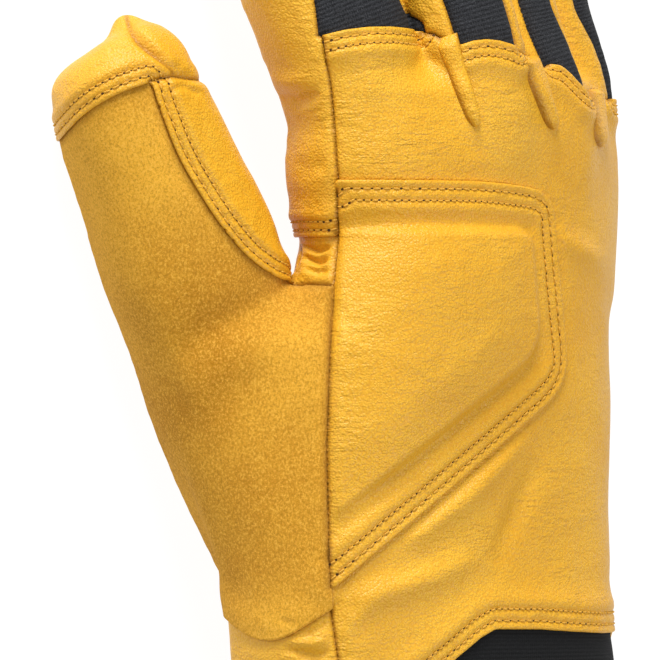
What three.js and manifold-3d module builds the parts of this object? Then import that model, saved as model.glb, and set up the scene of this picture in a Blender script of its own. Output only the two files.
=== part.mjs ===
// Ski touring glove for the right hand, empty and lying palm down, in millimetres.
//
// Hand frame: +X towards the little finger, +Y towards the fingertips, +Z up from the surface it lies on.
// The glove is a padded wall round a hollow: a hand tube, four finger tubes and a thumb tube are swept through
// short tables of sections, joined, hollowed and flattened where they rest, and the wall is then cut along its
// seams into the pieces that such a glove is sewn from.
import * as THREE from 'three';
import Module from 'manifold-3d';

const wasm = await Module();
wasm.setup();

// Driving sizes
const wall = 3; // padded leather and lining
const seamGap = 0.3; // between two pieces that are sewn together
const hollowShare = 0.36; // half of a hollow's sides for each side that its tube has outside
const squareness = 2.5; // exponent of the rounded sections: 2 is an ellipse
const padHeight = 3.2; // the foam pad above the back of the hand
const ribHeight = 2.6; // the gussets between the knuckles above the back of the hand
const hemDepth = 9;
const hemThickness = 1.2; // the hem's fold outside the cuff

// The back of the hand is laid out square to a line of sight that stands this high above the thumb side.
// There u runs to the right, v towards the fingertips, and w towards the eye.
const sightElevation = THREE.MathUtils.degToRad(57);
const sightOffset = -7.28; // u at the hand frame's origin
const inside = -2; // a depth on the line of sight that lies in the hollow under the back of the hand
const nearEye = 120;
const farSide = -120;

// Sections. Each row has its centre, its half width, its half height, and its roll, in degrees, about the tube's
// own line: a positive roll lowers the little finger's side.
const row = (x, y, z, halfWidth, halfHeight, roll) => ({ x, y, z, halfWidth, halfHeight, roll });

const hand = {
  rows: [
    row(21, -136, 27, 57, 28, 0), // cuff's hem
    row(21, -115, 26, 55, 27, 1),
    row(20.8, -92, 25, 52.5, 26, 3), // wrist
    row(21, -70, 24.5, 51.5, 25, 5),
    row(22.5, -40, 24.5, 51, 24, 8),
    row(25, -10, 25, 50.5, 23.5, 11),
    row(30.4, 20, 25.5, 45.8, 22, 14),
    row(30.5, 42, 26, 45.5, 19.5, 16), // knuckles
    row(30, 56, 26, 43, 16, 18),
  ],
  tip: 6,
  sides: 30,
  steps: 11,
};
const thumb = {
  rows: [
    row(-9, -64, 18, 15, 16, -6), // inside the heel of the hand
    row(-18, -40, 17, 19, 17, -6),
    row(-27.2, -20, 16.5, 20, 17, -7),
    row(-35.2, 0, 16.5, 19.8, 17, -8),
    row(-41.7, 18, 16.5, 21.3, 17, -8),
    row(-49.9, 36, 16, 19.4, 16.6, -8),
    row(-56.4, 50, 15.6, 18, 16.4, -8),
    row(-59.8, 58.2, 15.2, 16.8, 15.8, -8),
  ],
  tip: 15.5,
  sides: 18,
  steps: 11,
};

// The thumb's tip is flattened on its outer side, square to the sight plane, at a point of it and facing a way on it.
const tipSlope = { at: [-63.8, 61.2], facing: [-0.5627, 0.8266] };

// The thumb's web joins the thumb to the hand's edge, and the knuckles' skin joins the fingers to each other.
// Each row is a stretch of the thumb and the stretch of the hand that it is joined to, as [from y, to y].
const webs = [
  { thumb: [-41, -18], hand: [-76, -24] },
  { thumb: [-22, 12], hand: [-28, 10] },
];
const webReach = 0; // x at which the web meets the hand
const knuckleSkin = [20, 63]; // the stretch of y over which neighbouring fingers are joined
const fingers = {
  index: {
    rows: [
      row(-1.6, 24, 29.5, 14, 14, 0), // inside the hand
      row(-4.6, 37, 31, 15.5, 15.5, 0),
      row(-4.6, 52, 31.5, 15.6, 16, 0),
      row(-10.5, 74, 29, 17.3, 16, 0),
      row(-20, 98, 24, 16, 15.6, 0),
      row(-26, 120, 18, 14.8, 14.6, 0),
      row(-29, 137, 12.9, 13.8, 14, 0),
    ],
    tip: 12.5,
    backHalfWidth: 13.2,
    frontEnd: 11,
  },
  middle: {
    rows: [
      row(26, 25, 30, 13, 14, 0),
      row(26, 50, 34, 14.5, 15.5, 0),
      row(21.8, 74, 32.8, 15, 15.5, -2),
      row(13.5, 100, 27.5, 13.8, 14.6, 0),
      row(9, 127, 18.5, 13.4, 13.8, 2),
      row(7, 146, 12.5, 12.8, 13.5, 2),
    ],
    tip: 12,
    backHalfWidth: 8.2,
    frontEnd: 37.5,
  },
  ring: {
    rows: [
      row(48, 22, 25, 12, 12.5, 14),
      row(48.5, 48, 28, 13.5, 14.5, 14),
      row(42, 74, 23.8, 13.5, 14, 12),
      row(39, 98, 18.5, 12.8, 13.6, 12),
      row(37.5, 120, 14, 12.6, 13, 8),
      row(36.5, 137, 11.9, 12.2, 12.9, 4),
    ],
    tip: 11.5,
    backHalfWidth: 6.4,
    frontEnd: 58.5,
  },
  little: {
    rows: [
      row(65, 10, 16, 11, 12, 26),
      row(68, 36, 15, 12, 12.6, 28),
      row(66.4, 60, 13.4, 12, 12.5, 28),
      row(61.4, 80, 12, 11.6, 12, 22),
      row(60.8, 102, 11.4, 11.3, 11.7, 12),
      row(62.5, 115, 11, 10.9, 11.3, 6),
    ],
    tip: 10,
    backHalfWidth: 5.8,
    frontEnd: 200,
  },
};
const fingerSides = 12;
const fingerSteps = 8;
const capLength = 21; // of a fingertip cap, from the tip's last section back along the finger
const frontReach = [-19, 17.4]; // of a finger's front, to the left and the right of the finger's line
const frontStart = 50; // y at which the fingers' fronts meet the palm. Between two fingers they end at frontEnd.

// Outlines on the sight plane, as [u, v, corner radius]
const padPanel = [[1.8, 35, 0], [50.4, 34.6, 5], [57, -14, 8], [-0.2, -61.5, 0]];
const foamPad = [[2.9, 25, 1], [48.4, 25, 5], [51, -5.5, 8], [2.3, -44.7, 2]];
const foamTop = [[4.1, 23, 1], [46.5, 23, 5], [48.8, -4.7, 8], [3.4, -41.2, 2]];
const thumbPatch = [
  [-75, 26, 0],
  [-56, 51.5, 12],
  [-38.5, 59.4, 4],
  [-36.2, 55.8, 0],
  [-27.4, 31.4, 9],
  [-15.4, 12.8, 9],
  [0.7, 10.7, 0],
  [-0.6, -28, 0],
  [0.2, -65.6, 0],
  [-15.5, -75.4, 8],
  [-32, -62, 0],
  [-75, -62, 0],
];
const thumbCap = [[-75, 26, 0], [-56, 51.5, 12], [-38.5, 59.4, 4], [-36.2, 57.2, 0], [-24, 59, 0], [-24, 90, 0], [-75, 90, 0]];
const thumbSide = [[-37, 57, 0], [-24, 59, 0], [-12.5, 36, 0], [-5.6, 20, 0], [-5.6, 10, 0], [-20, 10, 0]];
const indexSide = [
  [-60, 22.6, 0],
  [1.8, 22.6, 0],
  [1.7, 35.7, 0],
  [0.2, 56, 0],
  [-2.9, 78.6, 0],
  [-12, 98, 0],
  [-20.6, 120, 0],
  [-26, 152, 0],
  [-60, 160, 0],
];
const indexGusset = [[-40, 8, 0], [0.7, 10.7, 0], [1.8, 22.8, 0], [-40, 22.8, 0]];
const aboveKnuckles = [
  [-40, 66, 0],
  [-1.2, 69.6, 0],
  [11.5, 74.2, 14],
  [23.4, 70.4, 0],
  [31.2, 67.6, 0],
  [39, 71, 9],
  [46.9, 65.8, 0],
  [49.8, 63, 0],
  [54.4, 65, 5],
  [62, 57, 0],
  [66, 56, 0],
  [71, 57, 4],
  [77, 50, 0],
  [120, 46, 0],
  [120, 190, 0],
  [-60, 190, 0],
];
const wristNotch = [[8.9, -92.5, 0], [36, -67.6, 7], [66, -69, 0], [120, -71, 0], [120, -92.5, 0]];
const leatherEnd = -92; // y of the leather's lower edge outside the notch
const notchFloor = 24; // z down to which the notch runs round the little finger's side

// The gussets' ribs run down the back of the hand between these points of the sight plane, with these half widths.
const ribs = {
  index_middle_rib: { from: [27.9, 71], to: [34.6, 47.6], halfWidth: 2.3 },
  middle_ring_rib: { from: [47.8, 66], to: [53.2, 47.4], halfWidth: 1.6 },
  ring_little_rib: { from: [64, 59], to: [65.4, 43.6], halfWidth: 2 },
};

// A closed solid from rings of points. Each ring has as many points as the next, and the two ends are closed.
function skin(rings) {
  const sides = rings[0].length;
  const points = rings.flat();
  const triangles = [];
  for (let ring = 0; ring + 1 < rings.length; ring++) {
    for (let side = 0; side < sides; side++) {
      const a = ring * sides + side;
      const b = ring * sides + ((side + 1) % sides);
      triangles.push(a, b, b + sides, a, b + sides, a + sides);
    }
  }
  for (const [ring, turn] of [[0, 1], [rings.length - 1, -1]]) {
    const middle = points.length;
    points.push(rings[ring].reduce((sum, p) => sum.add(p), new THREE.Vector3()).divideScalar(sides));
    for (let side = 0; side < sides; side++) {
      const a = ring * sides + side;
      const b = ring * sides + ((side + 1) % sides);
      triangles.push(middle, ...(turn > 0 ? [b, a] : [a, b]));
    }
  }
  return closed(points, triangles);
}

function closed(points, triangles) {
  const vertProperties = new Float32Array(points.flatMap((p) => [p.x, p.y, p.z]));
  const made = (triVerts) => new wasm.Manifold(new wasm.Mesh({ numProp: 3, vertProperties, triVerts }));
  const solid = made(new Uint32Array(triangles));
  return solid.volume() > 0 ? solid : made(new Uint32Array(triangles).reverse());
}

// Stations along a tube, evenly spaced between its rows, each with its section's own axes.
function stations(rows, steps) {
  const centres = new THREE.CatmullRomCurve3(rows.map((r) => new THREE.Vector3(r.x, r.y, r.z)), false, 'centripetal');
  const sizes = new THREE.CatmullRomCurve3(
    rows.map((r) => new THREE.Vector3(r.halfWidth, r.halfHeight, r.roll)), false, 'catmullrom', 0.5);
  return Array.from({ length: steps + 1 }, (_, i) => {
    const centre = centres.getPoint(i / steps);
    const along = centres.getTangent(i / steps);
    const size = sizes.getPoint(i / steps);
    const across = new THREE.Vector3().crossVectors(along, new THREE.Vector3(0, 0, 1)).normalize();
    const roll = THREE.MathUtils.degToRad(size.z);
    across.applyAxisAngle(along, roll);
    const up = new THREE.Vector3().crossVectors(across, along);
    return { centre, along, across, up, halfWidth: size.x, halfHeight: size.y };
  });
}

function sectionPoint(station, halfWidth, halfHeight, angle) {
  const power = (value) => Math.sign(value) * Math.abs(value) ** (2 / squareness);
  return station.centre.clone()
    .addScaledVector(station.across, halfWidth * power(Math.cos(angle)))
    .addScaledVector(station.up, halfHeight * power(Math.sin(angle)));
}

// A tube through the rows with a domed tip. Inset shrinks it all round, and runOut lengthens its open end.
function tube({ rows, tip, sides: outerSides = fingerSides, steps = fingerSteps }, inset = 0, runOut = 0) {
  const sides = inset > 0 ? 2 * Math.round(outerSides * hollowShare) : outerSides;
  const ringOf = (station, scale) => Array.from({ length: sides }, (_, side) => sectionPoint(
    station, (station.halfWidth - inset) * scale, (station.halfHeight - inset) * scale, (side / sides) * 2 * Math.PI));
  const body = stations(rows, steps);
  body[0].centre.addScaledVector(body[0].along, -runOut);
  const last = body.at(-1);
  const dome = [25, 50, 72].map((degrees) => {
    const angle = THREE.MathUtils.degToRad(degrees);
    const centre = last.centre.clone().addScaledVector(last.along, (tip - inset) * Math.sin(angle));
    return ringOf({ ...last, centre }, Math.cos(angle));
  });
  return skin([...body.map((station) => ringOf(station, 1)), ...dome]);
}

// All that lies under the slope of the thumb's tip.
function underSlope(inset) {
  const { at: [u, v], facing: [faceU, faceV] } = tipSlope;
  const reach = 200;
  const corner = (along, back) => [u + faceV * along - faceU * back, v - faceU * along - faceV * back, 0];
  return sightPrism([
    corner(-reach, inset), corner(reach, inset), corner(reach, reach), corner(-reach, reach)], farSide, nearEye);
}

// The whole glove as one solid, shrunk by inset and flattened where it rests.
function glove(inset = 0, runOut = 0) {
  const palm = tube(hand, inset, runOut);
  const thumbTube = tube(thumb, inset).intersect(underSlope(inset));
  const row = Object.values(fingers).map((finger) => tube(finger, inset));
  const stretch = (solid, [from, to], reach = 200) => solid.intersect(block([-200, from, -50], [reach, to, 200]));
  const joints = [
    ...webs.map((web) => wasm.Manifold.hull([stretch(thumbTube, web.thumb), stretch(palm, web.hand, webReach)])),
    ...row.slice(1).map((finger, i) => wasm.Manifold.hull([stretch(row[i], knuckleSkin), stretch(finger, knuckleSkin)])),
  ];
  return wasm.Manifold.union([palm, thumbTube, ...row, ...joints])
    .intersect(block([-200, -300, inset], [200, 300, 200]));
}

function block([x0, y0, z0], [x1, y1, z1]) {
  const ring = (z) => [[x0, y0], [x1, y0], [x1, y1], [x0, y1]].map(([x, y]) => new THREE.Vector3(x, y, z));
  return skin([ring(z0), ring(z1)]);
}

// A bar that follows a tube's line, as wide and as high as its limits say, between two stations.
function bar({ rows }, [left, right], [low, high], first = 0, last = fingerSteps, grow = 0) {
  const line = stations(rows, fingerSteps).slice(first, last + 1);
  const corners = [[left - grow, low - grow], [right + grow, low - grow], [right + grow, high + grow], [left - grow, high + grow]];
  const rings = line.map((s) => corners.map(([side, height]) => s.centre.clone()
    .addScaledVector(s.across, side)
    .addScaledVector(s.up, height)));
  const end = line.at(-1);
  rings.push(rings.at(-1).map((p) => p.clone().addScaledVector(end.along, 30)));
  return skin(rings);
}

// An outline with its corners rounded, as plain points.
function rounded(outline) {
  return outline.flatMap(([u, v, radius], i) => {
    const corner = new THREE.Vector2(u, v);
    if (radius === 0) return [corner];
    const before = new THREE.Vector2(...outline.at(i - 1).slice(0, 2)).sub(corner).normalize();
    const after = new THREE.Vector2(...outline[(i + 1) % outline.length].slice(0, 2)).sub(corner).normalize();
    const curve = new THREE.QuadraticBezierCurve(
      corner.clone().addScaledVector(before, radius), corner, corner.clone().addScaledVector(after, radius));
    return curve.getPoints(4);
  });
}

// A prism along the line of sight through an outline, from one depth to another, grown sideways by a distance.
function sightPrism(outline, near, far, grow = 0) {
  const plan = new wasm.CrossSection([rounded(outline).map((p) => p.toArray())], 'NonZero');
  return plan.offset(grow, 'Miter').extrude(far - near).translate(0, 0, near).transform(sightToHand.toArray());
}

const sightAxes = {
  u: new THREE.Vector3(Math.sin(sightElevation), 0, Math.cos(sightElevation)),
  v: new THREE.Vector3(0, 1, 0),
  w: new THREE.Vector3(-Math.cos(sightElevation), 0, Math.sin(sightElevation)),
};
const sightToHand = new THREE.Matrix4()
  .makeBasis(sightAxes.u, sightAxes.v, sightAxes.w)
  .multiply(new THREE.Matrix4().makeTranslation(-sightOffset, 0, 0));

// The wall, and what is left of it as pieces are cut out
let left = glove(0).subtract(glove(wall, 10));

// Cuts a piece out of the wall with a cutter that can grow, so that a seam's gap is left round the piece.
function cut(cutter) {
  const piece = left.intersect(cutter(0));
  left = left.subtract(cutter(seamGap));
  return largest(piece);
}

function largest(solid) {
  return solid.decompose().sort((a, b) => b.volume() - a.volume())[0];
}

const pieces = {};

// Cuff of stretch cloth, which rises into a notch at the back of the wrist, and its folded hem
const hemEnd = hand.rows[0].y + hemDepth;
const belowHem = (grow) => block([-200, -300, -50], [200, hemEnd + grow, 200]);
cut(belowHem);
pieces.cuff_hem = tube(hand, -hemThickness).subtract(tube(hand, wall, 10))
  .intersect(block([-200, -300, 0], [200, hemEnd, 200]));
pieces.cuff = cut((grow) => block([-200, -300, -50], [200, leatherEnd + grow, 200])
  .add(sightPrism(wristNotch, farSide, nearEye, grow)
    .intersect(block([-200, -300, notchFloor - grow], [200, 300, 200]))));

// Thumb: a cap of grain leather, a suede patch on its back, and a strip along its inner side
pieces.thumb_cap = cut((grow) => sightPrism(thumbCap, farSide, nearEye, grow));
const thumbFront = (grow) => bar(thumb, [-40, 40], [-40, -5], 0, fingerSteps, grow)
  .subtract(block([-11, -300, -50], [200, 300, 200]));

// The tips' caps, then the palm with the fingers' and the thumb's fronts
const caps = Object.fromEntries(Object.entries(fingers).map(([name, finger]) => {
  const end = stations(finger.rows, fingerSteps).at(-1);
  const start = end.centre.clone().addScaledVector(end.along, finger.tip - capLength);
  const ring = (distance) => [[-1, -1], [1, -1], [1, 1], [-1, 1]].map(([side, height]) => start.clone()
    .addScaledVector(end.along, distance)
    .addScaledVector(end.across, side * (end.halfWidth + 1.4))
    .addScaledVector(end.up, height * 22));
  return [`${name}_cap`, cut((grow) => skin([ring(-grow), ring(capLength + 3)]))];
}));
const fronts = Object.fromEntries(Object.entries(fingers).map(([name, finger]) => {
  const nextFinger = (grow) => block([finger.frontEnd + grow, -300, -50], [300, knuckleSkin[1] + 4 - grow, 200]);
  return [`${name}_front`, cut((grow) => bar(finger, frontReach, [-40, -3], 0, fingerSteps, grow)
    .intersect(block([-200, frontStart - grow, -50], [200, 300, 200])).subtract(nextFinger(grow)))];
}));
pieces.thumb_front = cut(thumbFront);
pieces.palm = cut((grow) => wasm.Manifold.union([
  bar(hand, [-46.5, 90], [-60, -5], 0, fingerSteps, grow),
  ...Object.values(fingers).map((finger) => bar(finger, frontReach, [-40, -3], 0, fingerSteps, grow)),
]).intersect(block([-200, -300, -50], [200, frontStart + grow, 200])));

pieces.thumb_patch = cut((grow) => sightPrism(thumbPatch, farSide, nearEye, grow));
pieces.thumb_side = cut((grow) => sightPrism(thumbSide, farSide, nearEye, grow));

// Fingers: stretch cloth on their backs, leather fourchettes between them, and a leather side on the index finger
const backs = Object.fromEntries(Object.entries(fingers).map(([name, finger]) => [`${name}_back`, cut((grow) => bar(
  finger, [-finger.backHalfWidth, finger.backHalfWidth], [2, 30], 0, fingerSteps, grow)
  .intersect(sightPrism(aboveKnuckles, farSide, nearEye, grow)))]));
pieces.index_side = cut((grow) => sightPrism(indexSide, farSide, nearEye, grow));
pieces.index_gusset = cut((grow) => sightPrism(indexGusset, inside, nearEye, grow));

const fourchettes = {};
const between = left.intersect(sightPrism(aboveKnuckles, farSide, nearEye)).decompose()
  .sort((a, b) => b.volume() - a.volume()).slice(0, 4)
  .sort((a, b) => a.boundingBox().min[0] - b.boundingBox().min[0]);
left = left.subtract(sightPrism(aboveKnuckles, farSide, nearEye, seamGap));
['index_middle_fourchette', 'middle_ring_fourchette', 'ring_little_fourchette', 'little_side'].forEach((name, i) => {
  if (between[i]) fourchettes[name] = between[i];
});

// Back of the hand: a leather with the padded panel sewn on it
const foam = wasm.Manifold.union([[padHeight / 2, foamPad], [padHeight, foamTop]].map(([height, outline]) => (
  glove(-height).subtract(glove(wall)).intersect(sightPrism(outline, inside, nearEye)))));
pieces.padded_panel = largest(cut((grow) => sightPrism(padPanel, inside, nearEye, grow)).add(foam));
pieces.back_of_hand = largest(left);

// Ribs of the gussets, which lie on the leather between the knuckles
const sightPoint = ([u, v], w) => new THREE.Vector3(u, v, w).applyMatrix4(sightToHand);
const clear = glove(-seamGap);
for (const [name, { from, to, halfWidth }] of Object.entries(ribs)) {
  const length = Math.hypot(to[0] - from[0], to[1] - from[1]);
  const sideways = [(from[1] - to[1]) / length, (to[0] - from[0]) / length];
  const outline = [0, 0.5, 0.85, 1].map((share) => [share, halfWidth * Math.sqrt(1 - share ** 4)]);
  const edge = (sign) => outline.map(([share, width]) => [
    from[0] + (to[0] - from[0]) * share + sign * sideways[0] * width,
    from[1] + (to[1] - from[1]) * share + sign * sideways[1] * width, 0]);
  const plan = [...edge(1).slice(0, -1), [...to, 0], ...edge(-1).slice(0, -1).reverse()];
  pieces[name] = largest(glove(-ribHeight).subtract(clear).intersect(sightPrism(plan, inside, nearEye)));
}

// Colours of the grain leather, the suede and the stretch cloth
const grainLeather = new THREE.MeshStandardMaterial({ color: 0xe3ad38, roughness: 0.5, metalness: 0 });
const suede = new THREE.MeshStandardMaterial({ color: 0xcf9838, roughness: 0.95, metalness: 0 });
const stretchCloth = new THREE.MeshStandardMaterial({ color: 0x20232b, roughness: 0.85, metalness: 0 });
const materials = { thumb_patch: suede, cuff: stretchCloth, cuff_hem: stretchCloth };

function meshOf(name, solid) {
  const { vertProperties, triVerts, numProp } = solid.simplify(0.08).getMesh();
  const geometry = new THREE.BufferGeometry();
  const positions = new THREE.InterleavedBufferAttribute(new THREE.InterleavedBuffer(vertProperties, numProp), 3, 0);
  geometry.setAttribute('position', positions);
  geometry.setIndex(new THREE.BufferAttribute(triVerts, 1));
  const material = materials[name] ?? (name.endsWith('_back') ? stretchCloth : grainLeather);
  const mesh = new THREE.Mesh(geometry.toNonIndexed(), material);
  mesh.geometry.computeVertexNormals();
  mesh.name = name;
  return mesh;
}

// The group's origin is under the middle of the glove, on the surface that it lies on.
const group = new THREE.Group();
for (const [name, solid] of Object.entries({ ...pieces, ...fronts, ...backs, ...caps, ...fourchettes })) {
  group.add(meshOf(name, solid));
}
const box = new THREE.Box3().setFromObject(group);
const middle = box.getCenter(new THREE.Vector3());
group.position.set(-middle.x, -middle.y, -box.min.z);

export default group;
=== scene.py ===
import math

import bpy
import numpy as np
from mathutils import Matrix, Vector
from mathutils.kdtree import KDTree


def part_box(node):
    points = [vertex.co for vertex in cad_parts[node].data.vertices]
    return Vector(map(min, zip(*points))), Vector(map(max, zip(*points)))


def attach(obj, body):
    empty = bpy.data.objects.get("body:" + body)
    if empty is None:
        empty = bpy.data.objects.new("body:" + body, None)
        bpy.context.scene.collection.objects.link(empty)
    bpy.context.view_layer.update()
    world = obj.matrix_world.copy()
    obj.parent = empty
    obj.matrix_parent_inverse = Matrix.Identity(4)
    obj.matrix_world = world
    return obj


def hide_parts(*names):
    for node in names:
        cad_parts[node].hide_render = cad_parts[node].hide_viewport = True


# A padded ski touring glove for the right hand, empty and lying palm down.
# Sizes are in millimetres in the hand frame until a piece is made: +X towards the little finger, +Y towards
# the fingertips, +Z up. The surface is found once as a whole, then cut along its seams into panels, and each
# panel gets its edge, its thickness and its stitches.

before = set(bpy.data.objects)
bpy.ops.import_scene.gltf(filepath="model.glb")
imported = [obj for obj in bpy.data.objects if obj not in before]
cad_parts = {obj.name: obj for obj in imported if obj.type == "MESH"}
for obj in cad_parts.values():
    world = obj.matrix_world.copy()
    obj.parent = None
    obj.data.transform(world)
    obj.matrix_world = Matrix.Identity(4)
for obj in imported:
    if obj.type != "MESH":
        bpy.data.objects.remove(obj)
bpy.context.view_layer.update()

# Driving sizes
LEATHER = 1.25  # thickness of a panel with its backing
WALL = 3.0  # the whole padded wall
CUFF_END = -136.0
HEM_DEPTH = 9.0
LEATHER_END = -92.0
CAP_LENGTH = 21.0
PAD_HEIGHT = 3.2
STITCH_ROWS = (1.6, 4.4)  # from the edge of a lapped panel, at full spread
SMALL_SPREAD = 0.78  # of the rows' spread on the knuckles, the thumb and the index finger
STITCH_PITCH = (2.4, 1.85)
SQUARENESS = 2.4  # exponent of the rounded sections
FAR = 40.0  # stands for any greater distance

# The line of sight stands this high above the thumb side. On its plane u runs right, v towards the fingers.
SIGHT = math.radians(57)
SIGHT_OFFSET = -7.28
U_AXIS = np.array([math.sin(SIGHT), 0, math.cos(SIGHT)])
W_AXIS = np.array([-math.cos(SIGHT), 0, math.sin(SIGHT)])
FRAME_WIDTH = 157.1  # what the photograph's frame spans
FORM_BOX = (np.array([-82.0, -138.0, -3.0]), np.array([86.0, 164.0, 62.0]))

# Sections: x, y, z, half width, half height, roll in degrees that lowers the little finger's side
TUBES = {
    "hand": {"tip": 6.0, "rows": [
        (21, -150, 27.4, 58, 28.4, 0),
        (21, -136, 27, 57, 28, 0),
        (21, -115, 26, 55, 27, 1),
        (20.8, -92, 25, 52.5, 26, 3),
        (21, -70, 24.5, 51.5, 25, 5),
        (22.5, -40, 24.5, 51, 24, 8),
        (25, -10, 25, 50.5, 23.5, 11),
        (30.4, 20, 25.5, 45.8, 22, 14),
        (30.5, 42, 26, 45.5, 19.5, 16),
        (30, 56, 26, 43, 16, 18),
    ]},
    "thumb": {"tip": 15.5, "rows": [
        (-9, -64, 18, 15, 16, -6),
        (-18, -40, 17, 19, 17, -6),
        (-27.2, -20, 16.5, 20, 17, -7),
        (-35.2, 0, 16.5, 19.8, 17, -8),
        (-41.7, 18, 16.5, 21.3, 17, -8),
        (-49.9, 36, 16, 19.4, 16.6, -8),
        (-56.4, 50, 15.6, 18, 16.4, -8),
        (-59.8, 58.2, 15.2, 16.8, 15.8, -8),
    ]},
    "index": {"tip": 12.5, "rows": [
        (-1.6, 24, 29.5, 14, 14, 0),
        (-4.6, 37, 31, 15.5, 15.5, 0),
        (-4.6, 52, 31.5, 15.6, 16, 0),
        (-10.5, 74, 29, 17.3, 16, 0),
        (-20, 98, 24, 16, 15.6, 0),
        (-26, 120, 18, 14.8, 14.6, 0),
        (-29, 137, 12.9, 13.8, 14, 0),
    ]},
    "middle": {"tip": 12.0, "rows": [
        (26, 25, 30, 13, 14, 0),
        (26, 50, 34, 14.5, 15.5, 0),
        (21.8, 74, 32.8, 15, 15.5, -2),
        (13.5, 100, 27.5, 13.8, 14.6, 0),
        (9, 127, 18.5, 13.4, 13.8, 2),
        (7, 146, 12.5, 12.8, 13.5, 2),
    ]},
    "ring": {"tip": 11.5, "rows": [
        (48, 22, 25, 12, 12.5, 14),
        (48.5, 48, 28, 13.5, 14.5, 14),
        (42, 74, 23.8, 13.5, 14, 12),
        (39, 98, 18.5, 12.8, 13.6, 12),
        (37.5, 120, 14, 12.6, 13, 8),
        (36.5, 137, 11.9, 12.2, 12.9, 4),
    ]},
    "little": {"tip": 10.0, "rows": [
        (65, 10, 16, 11, 12, 26),
        (68, 36, 15, 12, 12.6, 28),
        (66.4, 60, 13.4, 12, 12.5, 28),
        (61.4, 80, 12, 11.6, 12, 22),
        (60.8, 102, 11.4, 11.3, 11.7, 12),
        (62.5, 115, 11, 10.9, 11.3, 6),
    ]},
}
FINGERS = ("index", "middle", "ring", "little")

# The cloth on a finger's back: its left and right edge across the finger, each at places along Y, and how far
# down it reaches
BACK_EDGES = {
    "index": ([(66, -13.2), (78.6, -10)], [(69, 19.8), (78.6, 14.4)], 2),
    "middle": ([(60, -8.2)], [(60, 8.2)], 2),
    "ring": ([(62, -3.6), (78.6, -4.6)], [(60, 9.8), (70, 9.4), (78.6, 7)], 2),
    "little": ([(60, 3), (70, 1.8), (78.6, -1)], [(80, 13), (92, 8.5)], -5),
}

# The thumb's tip: its peak, and the slope beside it as a point on the sight plane and the way that it faces
THUMB_PEAK = np.array([-59, 71.6, 15.5])
THUMB_SLOPE = (np.array([-63.8, 61.2]), np.array([-0.5627, 0.8266]))

# Seams as outlines on the sight plane: u, v, corner radius
PAD_PANEL = [(1.8, 35.2, 0), (40, 35, 8), (52.8, 33, 5.5), (57, -13, 8), (-0.2, -61.2, 0)]
FOAM = [(-8, 25, 0), (48.4, 25, 5), (51, -5.5, 8), (-8, -53, 0)]
CAP_EDGE = [(-75, 36, 0), (-64.5, 44.5, 3), (-56.4, 52.4, 5), (-47.6, 57, 5)]
THUMB_PATCH = CAP_EDGE + [
    (-41.8, 58.8, 2), (-40.4, 54, 0), (-35.4, 40.5, 6), (-26.4, 25.7, 6), (-18.6, 16.4, 5), (-10.5, 11.4, 4),
    (0.7, 10.7, 0), (-0.6, -28, 0), (0.2, -65.6, 0), (-15.5, -75.4, 8), (-32, -62, 0), (-75, -62, 0),
]
THUMB_CAP = CAP_EDGE + [(-38, 59.6, 3), (-24, 59, 0), (-24, 90, 0), (-75, 90, 0)]
THUMB_SIDE = [(-44, 62, 0), (-20, 62, 0), (-6, 45, 0), (2, 20, 0), (0, 9, 0), (-24, 9, 0)]
INDEX_SIDE = [
    (-60, 22.6, 0), (1.8, 22.6, 0), (1.7, 35.7, 0), (0.2, 56, 0), (-2.9, 78.6, 0), (-12, 98, 0),
    (-20.6, 120, 0), (-26, 152, 0), (-60, 160, 0),
]
INDEX_GUSSET = [(-40, 8, 0), (0.7, 10.7, 0), (1.8, 22.8, 0), (-40, 22.8, 0)]
ABOVE_KNUCKLES = [
    (-40, 66, 0), (-1.2, 69.4, 0), (11.5, 73.2, 14), (23.4, 70.6, 0), (31.2, 67.6, 0), (39, 71, 9),
    (46.9, 65.8, 0), (49.8, 63, 0), (54.4, 65, 5), (62, 57, 0), (66, 56, 0), (71, 57, 4), (77, 50, 0),
    (120, 46, 0), (120, 190, 0), (-60, 190, 0),
]
# The wrist's edge over the cuff, as u and v, and the heights between which it rises to the notch
WRIST_NOTCH = [(8.9, -94.2), (35.5, -73), (39.2, -71), (50, -71.4), (66, -73.1), (120, -74.5)]
NOTCH_RISE = (16, 30)

# How far below a tube's middle the palm's leather ends, and the seam beside the heel, as v and u
PALM_EDGES = {"hand": 9, "thumb": 11, "index": 10, "middle": 3, "ring": 3, "little": 3}
HEEL_SEAM = [(-92, 3.5), (-79, 2.2), (-65.6, 0.2)]
HEEL_TOP = -62

# How far outside its own finger's tube a cap or a back still counts as its own
CAP_REACH, BACK_REACH = 2.5, 3

FOURCHETTES = [f"{one}_{two}_fourchette" for one, two in zip(FINGERS[:-1], FINGERS[1:])]
CLOTH = [f"{name}_back" for name in FINGERS] + ["cuff"]

# Which seams are lapped: the first panel lies on the second, with two rows of stitches. The others are sewn
# inside out, and show as a groove.
LAPPED = {
    ("padded_panel", "back_of_hand"),
    ("thumb_cap", "thumb_patch"),
    ("thumb_side", "thumb_patch"),
    ("index_side", "index_gusset"),
    ("back_of_hand", "cuff"),
    ("palm", "cuff"),
    ("thumb_patch", "back_of_hand"),
    ("thumb_patch", "palm"),
}
for name in FINGERS:
    LAPPED |= {("back_of_hand", f"{name}_back"), (f"{name}_cap", f"{name}_back")}

# Painted light and shade on the suede: places on the sight plane, each with a radius and how pale it is
SUEDE_LIGHT_AND_SHADE = [
    ((-45, 40), 17, 0.9),
    ((-8, -8), 13, 0.3),
    ((-8, -32), 12, 0.05),
    ((-27, 1), 12, -0.7),
    ((-34, -20), 12, -0.5),
    ((-20, -48), 14, -0.35),
    ((-12, -70), 7, 0.7),
    ((-18, 12), 8, -0.2),
]

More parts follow.
